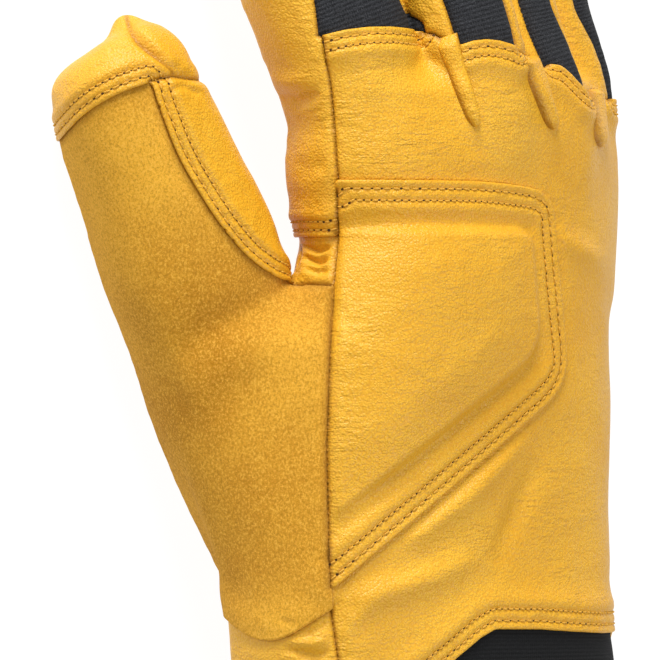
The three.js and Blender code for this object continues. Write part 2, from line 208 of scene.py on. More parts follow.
# The soft joins' widths: one that fades out between two places along Y, and one that stays. The thumb's first
# one comes in between two heights.
FINGER_WEB, FINGER_WEB_END, FINGER_WEB_FADE = 12, 1.2, (56, 72)
THUMB_WEB, THUMB_WEB_END, THUMB_WEB_FADE, THUMB_WEB_RISE = 22, 3, (-6, 16), (6, 22)
HAND_JOIN = 5
THUMB_TIP_JOIN = 5
THUMB_PEAK_RADIUS = 2.6
FLAT_JOIN = 1.6  # where the glove rests
TUBE_SAMPLES = 160
TUBE_START = 8.0  # how far a tube reaches before its first section
TUBE_MARGIN = 16  # further than this from a tube, points count as far from it


# Curves and the field

def columns(*parts):
    return np.stack(parts, 1)


def on_sight(P):
    """Places on the sight plane, u and v."""
    return columns(P @ U_AXIS + SIGHT_OFFSET, P[:, 1])


def rounded(outline, steps=6):
    """Points of an outline whose corners are rounded."""
    pts = [np.array(p[:2], float) for p in outline]
    out = []
    for i, (u, v, r) in enumerate(outline):
        c = pts[i]
        if r == 0:
            out.append(c)
            continue
        a = pts[i - 1] - c
        b = pts[(i + 1) % len(pts)] - c
        a = c + a / np.linalg.norm(a) * r
        b = c + b / np.linalg.norm(b) * r
        for t in np.linspace(0, 1, steps):
            out.append((1 - t) ** 2 * a + 2 * t * (1 - t) * c + t * t * b)
    return np.array(out)


def nearest_on_line(P, line):
    """Distance from each point to a polyline, and how far along it the nearest point is."""
    best = np.full(len(P), 1e9)
    along = np.zeros(len(P))
    start = 0.0
    for a, b in zip(line[:-1], line[1:]):
        ab = b - a
        length = np.linalg.norm(ab)
        t = np.clip(((P - a) @ ab) / length**2, 0, 1)
        d = np.linalg.norm(P - a - t[:, None] * ab, axis=1)
        near = d < best
        best[near] = d[near]
        along[near] = (start + t * length)[near]
        start += length
    return best, along / start


def outline_distance(P, outline):
    """Signed distance to a closed outline, negative inside."""
    ring = rounded(outline)
    d, _ = nearest_on_line(P, np.vstack([ring, ring[:1]]))
    inside = np.zeros(len(P), bool)
    for a, b in zip(ring, np.roll(ring, -1, 0)):
        if a[1] == b[1]:
            continue
        crosses = (a[1] > P[:, 1]) != (b[1] > P[:, 1])
        x = a[0] + (P[:, 1] - a[1]) * (b[0] - a[0]) / (b[1] - a[1])
        inside ^= crosses & (P[:, 0] < x)
    return np.where(inside, -d, d)


def spline(rows, count):
    """A Catmull-Rom curve through rows, at even steps of its length."""
    p = np.array(rows, float)
    p = np.vstack([2 * p[0] - p[1], p, 2 * p[-1] - p[-2]])
    t = np.linspace(0, 1, 40, endpoint=False)[:, None]
    fine = []
    for a, b, c, d in zip(p[:-3], p[1:-2], p[2:-1], p[3:]):
        square = (2 * a - 5 * b + 4 * c - d) * t**2
        cube = (3 * b - 3 * c + d - a) * t**3
        fine.append(0.5 * (2 * b + (c - a) * t + square + cube))
    fine = np.vstack(fine + [p[-2][None]])
    s = np.concatenate([[0], np.cumsum(np.linalg.norm(np.diff(fine[:, :3], axis=0), axis=1))])
    at = np.linspace(0, s[-1], count)
    return at, np.stack([np.interp(at, s, fine[:, k]) for k in range(fine.shape[1])], 1)


def tube_frames(tube):
    """Samples along a tube, each with its own axes and half sizes."""
    s, q = spline(tube["rows"], TUBE_SAMPLES)
    c = q[:, :3]
    t = np.gradient(c, s, axis=0)
    t /= np.linalg.norm(t, axis=1, keepdims=True)
    side = np.cross(t, [0, 0, 1.0])
    side /= np.linalg.norm(side, axis=1, keepdims=True)
    up = np.cross(side, t)
    roll = np.radians(q[:, 5])[:, None]
    side, up = side * np.cos(roll) - up * np.sin(roll), up * np.cos(roll) + side * np.sin(roll)
    reach = max(q[:, 3].max(), q[:, 4].max()) + TUBE_MARGIN
    table = np.hstack([c, t, side, up, q[:, 3:5], s[:, None]])
    return {"s": s, "table": table, "tip": tube["tip"], "low": c.min(0) - reach, "high": c.max(0) + reach}


def locate(P, f):
    """Where points are in a tube: how far outside its wall, and their places along, across and up."""
    depth = np.full(len(P), FAR)
    rest = np.zeros((3, len(P)))
    near = ((P > f["low"]) & (P < f["high"])).all(1)
    depth[near], rest[0, near], rest[1, near], rest[2, near] = locate_near(P[near], f)
    return depth, rest[0], rest[1], rest[2]


def locate_near(P, f):
    """The same for points near a tube."""
    n = len(f["s"])
    step = f["s"][1]
    at = np.interp(P[:, 1], f["table"][:, 1], np.arange(n))

    def mixed(wide):
        low = np.minimum(at.astype(int), n - 2)
        part = (at - low)[:, None]
        return f["table"][low, :wide] * (1 - part) + f["table"][low + 1, :wide] * part

    for _ in range(2):
        q = mixed(6)
        at = np.clip(at + np.einsum("ij,ij->i", P - q[:, :3], q[:, 3:]) / step, 0, n - 1)
    q = mixed(15)
    d = P - q[:, :3]
    over = np.einsum("ij,ij->i", d, q[:, 3:6])
    a = np.einsum("ij,ij->i", d, q[:, 6:9])
    b = np.einsum("ij,ij->i", d, q[:, 9:12])
    w, h = q[:, 12], q[:, 13]
    part_a, part_b = np.abs(a) / w, np.abs(b) / h
    rho = (part_a**SQUARENESS + part_b**SQUARENESS) ** (1 / SQUARENESS) + 1e-9
    slope_a = (part_a / rho) ** (SQUARENESS - 1) / w
    slope_b = (part_b / rho) ** (SQUARENESS - 1) / h
    reach = np.where(over > 0, f["tip"], TUBE_START)
    end = np.where((at > 0.01) & (at < n - 1.01), 0, over / reach)
    full = np.sqrt(rho**2 + end**2)
    slope = np.sqrt((rho / full) ** 2 * (slope_a**2 + slope_b**2) + (end / reach / full) ** 2)
    return (full - 1) / np.maximum(slope, 1e-6), q[:, 14] + over, a, b


def smooth_min(a, b, k):
    """The smaller of two values, blended over the width k."""
    h = np.maximum(k - np.abs(a - b), 0) / k
    return np.minimum(a, b) - h * h * k * 0.25


def ramp(x, low, high):
    """A smooth step from 0 at low to 1 at high."""
    t = np.clip((x - low) / (high - low), 0, 1)
    return t * t * (3 - 2 * t)


def joined(P, depth):
    """The glove's form: the tubes joined with soft webs and flattened where it rests."""
    y = P[:, 1]
    web = FINGER_WEB * (1 - ramp(y, *FINGER_WEB_FADE)) + FINGER_WEB_END
    out = depth["index"]
    for name in FINGERS[1:]:
        out = smooth_min(out, depth[name], web)
    out = smooth_min(out, depth["hand"], HAND_JOIN)
    # the thumb's tip slopes down on its outer side
    slope = (on_sight(P) - THUMB_SLOPE[0]) @ THUMB_SLOPE[1]
    thumb = -smooth_min(-depth["thumb"], -slope, THUMB_TIP_JOIN)
    peak = np.linalg.norm(P - THUMB_PEAK, axis=1) - THUMB_PEAK_RADIUS
    thumb = smooth_min(thumb, peak, THUMB_TIP_JOIN)
    web = THUMB_WEB * (1 - ramp(y, *THUMB_WEB_FADE)) * ramp(P[:, 2], *THUMB_WEB_RISE) + THUMB_WEB_END
    out = smooth_min(out, thumb, web)
    return -smooth_min(-out, P[:, 2], FLAT_JOIN)


FRAMES = {name: tube_frames(tube) for name, tube in TUBES.items()}


def form(P):
    """How far points are outside the glove's plain form."""
    return joined(P, {name: locate(P, f)[0] for name, f in FRAMES.items()})


def form_slope(P):
    """The form's outward normals, and how steeply its value rises along them."""
    step = 0.15
    corners = step * np.array([(1, -1, -1), (-1, -1, 1), (-1, 1, -1), (1, 1, 1)])
    g = sum(form(P + corner)[:, None] * corner for corner in corners) / (4 * step**2)
    length = np.linalg.norm(g, axis=1)
    return g / np.maximum(length, 1e-9)[:, None], length


# Meshes as arrays

def grid_surface(step, low, high, level=0.0):
    """Quads on the form's surface, by surface nets on a grid."""
    axes = [np.arange(a, b + step / 2, step) for a, b in zip(low, high)]
    shape = tuple(len(a) for a in axes)
    grid = np.stack(np.meshgrid(*axes, indexing="ij"), -1)
    values = form(grid.reshape(-1, 3)).reshape(shape) - level
    inside = values < 0
    corners = [(i, j, k) for i in (0, 1) for j in (0, 1) for k in (0, 1)]
    count = np.zeros(tuple(n - 1 for n in shape), np.int8)
    for i, j, k in corners:
        count += inside[i:shape[0] - 1 + i, j:shape[1] - 1 + j, k:shape[2] - 1 + k]
    cells = np.argwhere((count > 0) & (count < 8))
    number = -np.ones(tuple(n - 1 for n in shape), int)
    number[tuple(cells.T)] = np.arange(len(cells))
    total = np.zeros((len(cells), 3))
    crossings = np.zeros(len(cells))
    for corner in corners:
        for axis in range(3):
            if corner[axis]:
                continue
            other = np.array(corner)
            other[axis] = 1
            a = values[tuple((cells + corner).T)]
            b = values[tuple((cells + other).T)]
            cut = (a < 0) != (b < 0)
            point = np.tile(np.array(corner, float), (len(cells), 1))
            point[:, axis] = np.where(cut, a / np.where(cut, a - b, 1), 0)
            total[cut] += point[cut]
            crossings[cut] += 1
    V = (cells + total / crossings[:, None]) * step + low
    quads = []
    for axis in range(3):
        first, second = [(1, 2), (2, 0), (0, 1)][axis]
        near = [slice(None)] * 3
        far = [slice(None)] * 3
        near[axis] = slice(0, -1)
        far[axis] = slice(1, None)
        edge = np.argwhere(inside[tuple(near)] != inside[tuple(far)])
        edge = edge[(edge[:, first] > 0) & (edge[:, second] > 0)]
        edge = edge[(edge[:, first] < shape[first] - 1) & (edge[:, second] < shape[second] - 1)]
        offsets = np.zeros((4, 3), int)
        offsets[1, first] = offsets[2, first] = offsets[2, second] = offsets[3, second] = -1
        quad = np.stack([number[tuple((edge + o).T)] for o in offsets], 1)
        outwards = inside[tuple(edge.T)]
        quad[~outwards] = quad[~outwards][:, ::-1]
        quads.append(quad)
    quads = np.vstack(quads)
    return V, quads[(quads >= 0).all(1)]


def sides_of(faces):
    """Each face's edges, from corner to corner."""
    return np.stack([faces, np.roll(faces, -1, 1)], 2).reshape(-1, 2)


def renumbered(faces):
    """The points that faces use, and the faces by those points' numbers."""
    used, faces = np.unique(faces, return_inverse=True)
    return used, faces.reshape(-1, 3)


def triangles_of(V, quads):
    """Splits each quad along its shorter diagonal."""
    one = np.linalg.norm(V[quads[:, 0]] - V[quads[:, 2]], axis=1)
    two = np.linalg.norm(V[quads[:, 1]] - V[quads[:, 3]], axis=1)
    a, b, c, d = quads.T
    short = (one < two)[:, None]
    first = np.where(short, columns(a, b, c), columns(a, b, d))
    second = np.where(short, columns(a, c, d), columns(b, c, d))
    return np.vstack([first, second])


def edges_of(F):
    """Unique edges, and for each face the edge from each corner to the next."""
    pairs = sides_of(F)
    pairs.sort(1)
    keys = pairs[:, 0].astype(np.int64) * (F.max() + 1) + pairs[:, 1]
    unique, where, inverse = np.unique(keys, return_index=True, return_inverse=True)
    return pairs[where], inverse.reshape(-1, 3)


def cut_edges(V, F, labels, edges, face_edges, marked, t):
    """Puts a vertex on each marked edge, at t along it, and divides the faces to suit."""
    new = -np.ones(len(edges), int)
    new[marked] = len(V) + np.arange(marked.sum())
    ends = V[edges[marked]]
    share = t[marked][:, None]
    V = np.vstack([V, ends[:, 0] * (1 - share) + ends[:, 1] * share])
    hit = marked[face_edges]
    number = hit.sum(1)
    faces = [F[number == 0]]
    kept = [labels[number == 0]]

    def turned(count, first):
        """Corners and cuts of the faces with so many cuts, each face turned to begin at its first edge."""
        rows = np.flatnonzero(number == count)
        order = (first[rows, None] + np.arange(3)) % 3
        kept.extend([labels[rows]] * (count + 1))
        corners = np.take_along_axis(F[rows], order, 1)
        cuts = np.take_along_axis(new[face_edges[rows]], order, 1)
        return (*corners.T, *cuts.T)

    a, b, c, m, _, _ = turned(1, hit.argmax(1))
    faces += [columns(a, m, c), columns(m, b, c)]
    a, b, c, m, n, _ = turned(2, ((~hit).argmax(1) + 1) % 3)
    short = (np.linalg.norm(V[a] - V[n], axis=1) < np.linalg.norm(V[m] - V[c], axis=1))[:, None]
    faces += [
        columns(m, b, n),
        np.where(short, columns(a, m, n), columns(a, m, c)),
        np.where(short, columns(a, n, c), columns(m, n, c)),
    ]
    a, b, c, m, n, o = turned(3, np.zeros(len(F), int))
    faces += [columns(a, m, o), columns(m, b, n), columns(o, n, c), columns(m, n, o)]
    return V, np.vstack(faces), np.concatenate(kept)


def refined(V, F, labels, wanted, longest):
    """Halves the edges that are longer than wanted at their vertices' places."""
    for _ in range(3):
        edges, face_edges = edges_of(F)
        length = np.linalg.norm(V[edges[:, 0]] - V[edges[:, 1]], axis=1)
        near = wanted(V)
        marked = (near[edges].all(1)) & (length > longest)
        if not marked.any():
            break
        V, F, labels = cut_edges(V, F, labels, edges, face_edges, marked, np.full(len(edges), 0.5))
    return V, F, labels


def settled(V, rounds=2):
    """Moves points onto the form's surface."""
    for _ in range(rounds):
        n, slope = form_slope(V)
        V = V - n * (form(V) / np.maximum(slope, 0.3))[:, None]
    return V


def relaxed(V, F, rounds, share=0.5):
    """Evens out the spacing of a mesh."""
    edges, _ = edges_of(F)
    both = np.vstack([edges, edges[:, ::-1]])
    degree = np.bincount(both[:, 0], minlength=len(V))[:, None]
    for _ in range(rounds):
        total = np.stack([np.bincount(both[:, 0], V[both[:, 1], k], len(V)) for k in range(3)], 1)
        V = V * (1 - share) + total / np.maximum(degree, 1) * share
    return V


SNAP = 0.14  # share of an edge within which its vertex moves onto a seam instead of a new one being made


def cut_along(V, F, labels, value, code, free):
    """Cuts the faces that are still free along value = 0, and gives those with a negative value the code."""
    g = value(V)
    edges, face_edges = edges_of(F)
    usable = np.zeros(len(edges), bool)
    usable[face_edges[labels == free].ravel()] = True
    a, b = g[edges[:, 0]], g[edges[:, 1]]
    cross = ((a < 0) != (b < 0)) & usable & (a != 0) & (b != 0)
    t = np.where(cross, a / np.where(cross, a - b, 1), 0.5)
    # a vertex that lies close to the line moves onto it
    close = np.full(len(V), 1.0)
    for end, share in ((0, t), (1, 1 - t)):
        np.minimum.at(close, edges[cross, end], share[cross])
    place = V.copy()
    for end, share in ((0, t), (1, 1 - t)):
        rows = np.flatnonzero(cross & (share < SNAP))
        rows = rows[share[rows] <= close[edges[rows, end]] + 1e-12]
        hit = edges[rows, end]
        place[hit] = V[edges[rows, 0]] * (1 - t[rows, None]) + V[edges[rows, 1]] * t[rows, None]
        g[hit] = 0
    V = place
    a, b = g[edges[:, 0]], g[edges[:, 1]]
    cross = (a * b < 0) & usable
    t = np.where(cross, a / np.where(cross, a - b, 1), 0.5)
    g = np.concatenate([g, np.zeros(cross.sum())])
    V, F, labels = cut_edges(V, F, labels, edges, face_edges, cross, t)
    inner = (g[F].sum(1) < 0) & (labels == free)
    labels = labels.copy()
    labels[inner] = code
    return V, F, labels


# The base surface

BASE_STEP = 1.5
VIEW_EDGE = 1.15  # longest edge where the photograph looks
SEAM_EDGE = 0.62  # longest edge near a seam there
SEAM_REACH = 7.5
VIEW_MARGIN = 4
FACING = -0.2  # least part of a normal towards the eye


def in_view(P):
    """Whether points are inside the photograph's frame and face the eye."""
    half = FRAME_WIDTH / 2 + VIEW_MARGIN
    return (np.abs(on_sight(P)) < half).all(1) & (form_slope(P)[0] @ W_AXIS > FACING)


V, quads = grid_surface(BASE_STEP, *FORM_BOX)
F = triangles_of(V, quads)
V = settled(V)
V = settled(relaxed(V, F, 2))
labels = np.zeros(len(F), int)
V, F, labels = refined(V, F, labels, in_view, VIEW_EDGE)
V = settled(V, 1)


# Panels. A value is negative inside its panel, and each panel takes what the ones before it left.

def finger_end(name):
    return FRAMES[name]["s"][-1] + FRAMES[name]["tip"]


def places(P):
    return {name: locate(P, f) for name, f in FRAMES.items()}


def cuff_value(P):
    uv = on_sight(P)
    notch = np.interp(uv[:, 0], *zip(*WRIST_NOTCH))
    return P[:, 1] - (LEATHER_END + np.maximum(notch - LEATHER_END, 0) * ramp(P[:, 2], *NOTCH_RISE))


def cap_value(name):
    def value(P):
        depth, along, _, _ = locate(P, FRAMES[name])
        return np.maximum(finger_end(name) - CAP_LENGTH - along, depth - CAP_REACH)
    return value


def palm_value(P):
    total = np.zeros(len(P))
    weight = np.zeros(len(P))
    for name, (depth, _, _, up) in places(P).items():
        share = 1 / (np.maximum(depth, 0) + 1.5) ** 4
        total += share * (up + PALM_EDGES[name])
        weight += share
    uv = on_sight(P)
    heel = uv[:, 0] - np.interp(uv[:, 1], *zip(*HEEL_SEAM))
    heel = np.maximum.reduce([heel, uv[:, 1] - HEEL_TOP, -outline_distance(uv, THUMB_PATCH)])
    return np.minimum(total / weight, heel)


def thumb_side_value(P):
    at = places(P)
    nearer = at["thumb"][0] - np.minimum(at["index"][0], at["hand"][0])
    return np.maximum(outline_distance(on_sight(P), THUMB_SIDE), nearer)


def back_edges(name, y):
    """The left and right edge of a finger's cloth at places along Y."""
    left_edge, right_edge, _ = BACK_EDGES[name]
    return np.interp(y, *zip(*left_edge)), np.interp(y, *zip(*right_edge))


def back_value(name):
    def value(P):
        depth, _, across, up = locate(P, FRAMES[name])
        left_side, right_side = back_edges(name, P[:, 1])
        beside = np.maximum(left_side - across, across - right_side)
        above = outline_distance(on_sight(P), ABOVE_KNUCKLES)
        return np.maximum.reduce([beside, BACK_EDGES[name][2] - up, above, depth - BACK_REACH])
    return value


def outlined(outline, depth=None):
    """Inside an outline on the sight plane, and nearer to the eye than a depth where one is given."""
    def value(P):
        d = outline_distance(on_sight(P), outline)
        return d if depth is None else np.maximum(d, depth - P @ W_AXIS)
    return value


PANELS = [
    ("dropped", lambda P: P[:, 1] - (CUFF_END + HEM_DEPTH - 2)),
    ("cuff", cuff_value),
    ("thumb_cap", outlined(THUMB_CAP)),
    *[(f"{name}_cap", cap_value(name)) for name in FINGERS],
    ("palm", palm_value),
    ("thumb_patch", outlined(THUMB_PATCH)),
    ("thumb_side", thumb_side_value),
    *[(f"{name}_back", back_value(name)) for name in FINGERS],
    ("index_side", outlined(INDEX_SIDE)),
    ("index_gusset", outlined(INDEX_GUSSET)),
    ("between_fingers", outlined(ABOVE_KNUCKLES)),
    ("padded_panel", outlined(PAD_PANEL, -2)),
]
NAMES = ["back_of_hand", *[name for name, _ in PANELS], *FOURCHETTES, "little_side"]
CODE = {name: number for number, name in enumerate(NAMES)}
for name, value in PANELS:
    V, F, labels = cut_along(V, F, labels, value, CODE[name], 0)

# What is left between and beside the fingers goes to the nearest finger's two sides
rows = np.flatnonzero(labels == CODE["between_fingers"])
middles = V[F[rows]].mean(1)
at = places(middles)
owner = np.argmin(np.stack([at[name][0] for name in FINGERS]), 0)
beyond = np.stack([at[name][2] - sum(back_edges(name, middles[:, 1])) / 2 for name in FINGERS])
right = beyond[owner, np.arange(len(rows))] > 0
sides = np.array([CODE[name] for name in ("index_side", *FOURCHETTES, "little_side")])
labels[rows] = sides[owner + right]


def face_pairs(F):
    """Pairs of faces that share an edge, with the edge's vertices."""
    edges, face_edges = edges_of(F)
    order = np.argsort(face_edges.ravel(), kind="stable")
    first = np.searchsorted(face_edges.ravel()[order], np.arange(len(edges)))
    two = np.bincount(face_edges.ravel()) == 2
    return edges[two], order[first[two]] // 3, order[first[two] + 1] // 3


def islands_joined(V, F, labels, smallest=60):
    """Gives each small island of a panel to the panel that it borders most."""
    edges, one, two = face_pairs(F)
    for _ in range(3):
        same = labels[one] == labels[two]
        group = np.arange(len(F))
        while True:
            before = group.copy()
            low = np.minimum(group[one[same]], group[two[same]])
            np.minimum.at(group, one[same], low)
            np.minimum.at(group, two[same], low)
            group = group[group]
            if (group == before).all():
                break
        sides = V[F[:, 1:]] - V[F[:, :1]]
        area = np.bincount(group, np.linalg.norm(np.cross(sides[:, 0], sides[:, 1]), axis=1) / 2, len(F))
        small = area[group] < smallest
        touch = ~same & (small[one] | small[two])
        if not touch.any():
            break
        length = np.linalg.norm(V[edges[touch, 0]] - V[edges[touch, 1]], axis=1)
        ends = np.concatenate([one[touch], two[touch]])
        others = np.concatenate([labels[two[touch]], labels[one[touch]]])
        votes = np.zeros((len(F), len(NAMES)))
        np.add.at(votes, (group[ends], others), np.concatenate([length, length]))
        best = votes.argmax(1)
        change = small & (votes[group].sum(1) > 0)
        labels = np.where(change, best[group], labels)
    return labels


labels = islands_joined(V, F, labels)
keep = labels != CODE["dropped"]
F, labels = F[keep], labels[keep]


# Seams

def distance_to(P, points):
    """Distance from each point of P to the nearest of the others."""
    if len(points) == 0:
        return np.full(len(P), FAR)
    tree = KDTree(len(points))
    for number, point in enumerate(points.tolist()):
        tree.insert(point, number)
    tree.balance()
    return np.minimum(np.array([tree.find(p)[2] for p in P.tolist()]), FAR)


def seams_of(F, labels):
    """Edges between two panels, with the panel on each side. An open edge has the code -1 on its far side."""
    edges, one, two = face_pairs(F)
    apart = labels[one] != labels[two]
    all_edges, face_edges = edges_of(F)
    lone = np.bincount(face_edges.ravel()) == 1
    face = np.argsort(face_edges.ravel(), kind="stable")
    first = np.searchsorted(face_edges.ravel()[face], np.flatnonzero(lone))
    edges = np.vstack([edges[apart], all_edges[lone]])
    left = np.concatenate([labels[one][apart], labels[face[first] // 3]])
    right = np.concatenate([labels[two][apart], np.full(lone.sum(), -1)])
    return edges, left, right


def samples_on(V, edges, spacing=0.3):
    """Points along edges, no further apart than the spacing."""
    if len(edges) == 0:
        return np.zeros((0, 3))
    a, b = V[edges[:, 0]], V[edges[:, 1]]
    count = np.maximum(np.ceil(np.linalg.norm(b - a, axis=1) / spacing), 1).astype(int)
    which = np.repeat(np.arange(len(edges)), count)
    start = np.cumsum(count) - count
    t = ((np.arange(len(which)) - start[which]) / count[which])[:, None]
    return a[which] * (1 - t) + b[which] * t


edges, left, right = seams_of(F, labels)
seam_points = samples_on(V, edges, 0.8)
reach = in_view(V) & (distance_to(V, seam_points) < SEAM_REACH)


def near_seams(P):
    """Whether points are among those near a seam in view. New points lie between such points."""
    return np.concatenate([reach, np.ones(len(P) - len(reach), bool)])


V, F, labels = refined(V, F, labels, near_seams, SEAM_EDGE)
V = settled(V, 1)
normals = form_slope(V)[0]
edges, left, right = seams_of(F, labels)


# Relief

RNG = np.random.default_rng(11)
LATTICE_SIZE = 32
LATTICE = RNG.uniform(-1, 1, (LATTICE_SIZE, LATTICE_SIZE, LATTICE_SIZE))


def soft_noise(P, size, shift=0.0):
    """Smooth random values between -1 and 1, with dents of the given size."""
    q = P / size + shift
    base = np.floor(q).astype(int)
    t = q - base
    t = t * t * (3 - 2 * t)
    total = np.zeros(len(P))
    for corner in np.ndindex(2, 2, 2):
        share = np.prod(np.where(corner, t, 1 - t), axis=1)
        total += LATTICE[tuple(((base + corner) % LATTICE_SIZE).T)] * share
    return total


# Soft folds as lines on the sight plane: points, half width, height
CAP_SEAM = [(-48.1, 74.2), (-47.4, 71.4), (-45.2, 68.3), (-41.2, 64.3), (-37, 60.2)]  # on the thumb's tip
FOLDS = [
    (CAP_SEAM, 0.9, -1.6),
    ([(-45.4, 72.4), (-43, 69.4), (-39.6, 65.8), (-35.6, 62)], 1.9, 1.1),
    ([(-38.8, 58.2), (-34.5, 60.2), (-29.8, 57.8)], 1.2, 1.5),
    ([(-38.4, 56), (-34.5, 57.6), (-30, 55.4)], 0.9, -0.9),
    ([(53.6, 23.8), (60, 19.5), (66.4, 16.2)], 2.6, 1.1),
    ([(47.6, -24.5), (33.3, -39.2), (16.7, -52)], 2.8, 1.6),
    ([(34.5, -54), (23.8, -58.6), (4.8, -65)], 3.4, 1.9),
    ([(50.4, -30), (45.2, -42.9), (38.5, -57)], 2.8, -1.3),
    ([(14, -58), (8, -66), (3, -73)], 2.4, 0.6),
    ([(-7, 20.6), (-3.5, 19), (1.5, 20)], 0.8, -1.8),
    ([(-7, 17.5), (-3, 16.2), (1.2, 17.4)], 0.8, -1.6),
    ([(-6, 14.6), (-3, 13.6), (1, 14.6)], 0.8, -1.4),
    ([(-13, 7), (-25, 2.4), (-38, -5)], 4.5, -1.2),
    ([(-16, 60.5), (-10, 58.8), (-4, 59.5)], 1.8, 0.8),
    ([(-13, 56), (-8, 54), (-2, 56)], 1.3, -1.2),
    ([(-9, 40), (-5, 38), (0, 40)], 2.0, -0.5),
    ([(-12, -68.5), (-5, -71), (0.5, -68)], 0.9, -1.2),
    ([(-12, -75), (-3, -77), (2, -75)], 1.1, -1.1),
    ([(-14, -72), (-4, -74), (1, -72)], 1.2, 1.0),
    ([(-10, -2), (-24, -8), (-36, -16)], 5.0, 0.7),
    ([(-46, 4), (-38, -14), (-32, -28)], 4.0, -0.7),
]


def folds(P):
    """How high the folds stand at points."""
    uv = on_sight(P)
    total = np.zeros(len(P))
    for line, width, height in FOLDS:
        d, along = nearest_on_line(uv, np.array(line, float))
        total += height * np.exp(-(d / width) ** 2) * np.sin(np.pi * np.clip(along, 0.02, 0.98)) ** 0.6
    return total


def bell(d, middle, width):
    return np.exp(-((d - middle) / width) ** 2)


# Relief beside a seam, as height, and place or width: a lapped edge stands up, its stitch rows sink in, and
# an edge sewn inside out falls into a groove
EDGE_RISE, EDGE_FADE = 0.9, (4.8, 13)
SUEDE_RISE, SUEDE_FADE = 0.8, (2, 9)
ROW_SINK = ((0.4, 0.55), (0.34, 0.65))
SWELL_PAST_ROWS = (0.3, 6.6, 1.7)
GROOVE, GROOVE_WIDTH = 1.1, 0.6
GROOVE_SWELL = (0.2, 3.0, 1.8)
UNDER_SINK, UNDER_FADE = 0.2, (0.5, 5)
PUCKER, PUCKER_SIZE = 0.16, 2.4
PUCKER_PLACE = (2.8, 2.6)

# Dents all over: height, size and shift
CLOTH_DENTS = (0.12, 9, 3.3)
FOAM_DENTS = (0.1, 12, 0.7)
BROAD_DENTS = (0.34, 15, 0.7)
SMALL_DENTS = (0.12, 5.5, 5.1)

# The foam's share of its height at the edge, the crown that rises over it, and the dip along its foot
FOAM_SHARE, FOAM_SLOPE = 0.8, (-0.3, 2.7)
CROWN, CROWN_SLOPE = 1.4, (0.5, 13)
FOAM_FOOT = (0.3, -1.8, 1.6)


def dents(P, height, size, shift):
    return height * soft_noise(P, size, shift)


def foam_height(P, d_butt):
    """The foam panel's block, which thins out towards the seams that it is sewn into."""
    edge = -outline_distance(on_sight(P), FOAM)
    block = PAD_HEIGHT * FOAM_SHARE * ramp(edge, *FOAM_SLOPE) + CROWN * ramp(edge, *CROWN_SLOPE)
    thinned = ramp(d_butt, -0.6, 2.6) * (0.4 + 0.6 * ramp(d_butt, 0, 20))
    height, place, width = FOAM_FOOT
    return block * thinned - height * bell(edge, place, width)


def relief(name, P, N, d_top, d_under, d_butt):
    """How far a panel's surface stands above the plain form."""
    d = np.minimum.reduce([d_top, d_under, d_butt])
    if name == "thumb_patch":
        height = SUEDE_RISE * (1 - ramp(d_top, *SUEDE_FADE))
    else:
        height = EDGE_RISE * (1 - ramp(d_top, *EDGE_FADE))
        for row, (depth, width) in zip(STITCH_ROWS, ROW_SINK):
            height -= depth * bell(d_top, row, width)
        height += SWELL_PAST_ROWS[0] * bell(d_top, *SWELL_PAST_ROWS[1:])
    height -= GROOVE * np.exp(-d_butt / GROOVE_WIDTH) - GROOVE_SWELL[0] * bell(d_butt, *GROOVE_SWELL[1:])
    height -= UNDER_SINK * (1 - ramp(d_under, *UNDER_FADE))
    height += dents(P, PUCKER, PUCKER_SIZE, 0.0) * bell(np.minimum(d_top, d_butt), *PUCKER_PLACE)
    if name in CLOTH:
        return height + dents(P, *CLOTH_DENTS)
    if name == "padded_panel":
        height += foam_height(P, d_butt) + dents(P, *FOAM_DENTS)
    else:
        height += (dents(P, *BROAD_DENTS) + dents(P, *SMALL_DENTS)) * ramp(d, 1, 6)
    facing = ramp(N @ W_AXIS, 0, 0.4)
    return height + folds(P) * facing * ramp(d, 0.5, 4)


def closed_panel(P, N, faces, roll, thickness=LEATHER):
    """A sheet made solid: its outer side, a rolled edge and its inner side."""
    n = len(P)
    pairs = sides_of(faces)
    forward = pairs[:, 0] * n + pairs[:, 1]
    backward = pairs[:, 1] * n + pairs[:, 0]
    a, b = pairs[~np.isin(forward, backward)].T
    away = np.cross(P[b] - P[a], N[a] + N[b])
    out = np.zeros((n, 3))
    np.add.at(out, a, away)
    np.add.at(out, b, away)
    rim = np.unique(np.concatenate([a, b]))
    out = out[rim] / np.maximum(np.linalg.norm(out[rim], axis=1, keepdims=True), 1e-9)
    place = np.zeros(n, int)
    place[rim] = np.arange(len(rim))
    rings = [P]
    size = roll[rim][:, None]
    for degrees in (40, 90):
        angle = math.radians(degrees)
        rings.append(P[rim] + out * size * math.sin(angle) - N[rim] * size * (1 - math.cos(angle)))
    rings.append(P - N * thickness)
    start = [n, n + len(rim)]
    loops = [(a, b)] + [(s + place[a], s + place[b]) for s in start]
    inner = n + 2 * len(rim)
    loops.append((inner + a, inner + b))
    tris = [faces]
    for (a0, b0), (a1, b1) in zip(loops[:-1], loops[1:]):
        tris += [columns(b0, a0, a1), columns(b0, a1, b1)]
    tris.append(faces[:, ::-1] + inner)
    return np.vstack(rings), np.vstack(tris), rim


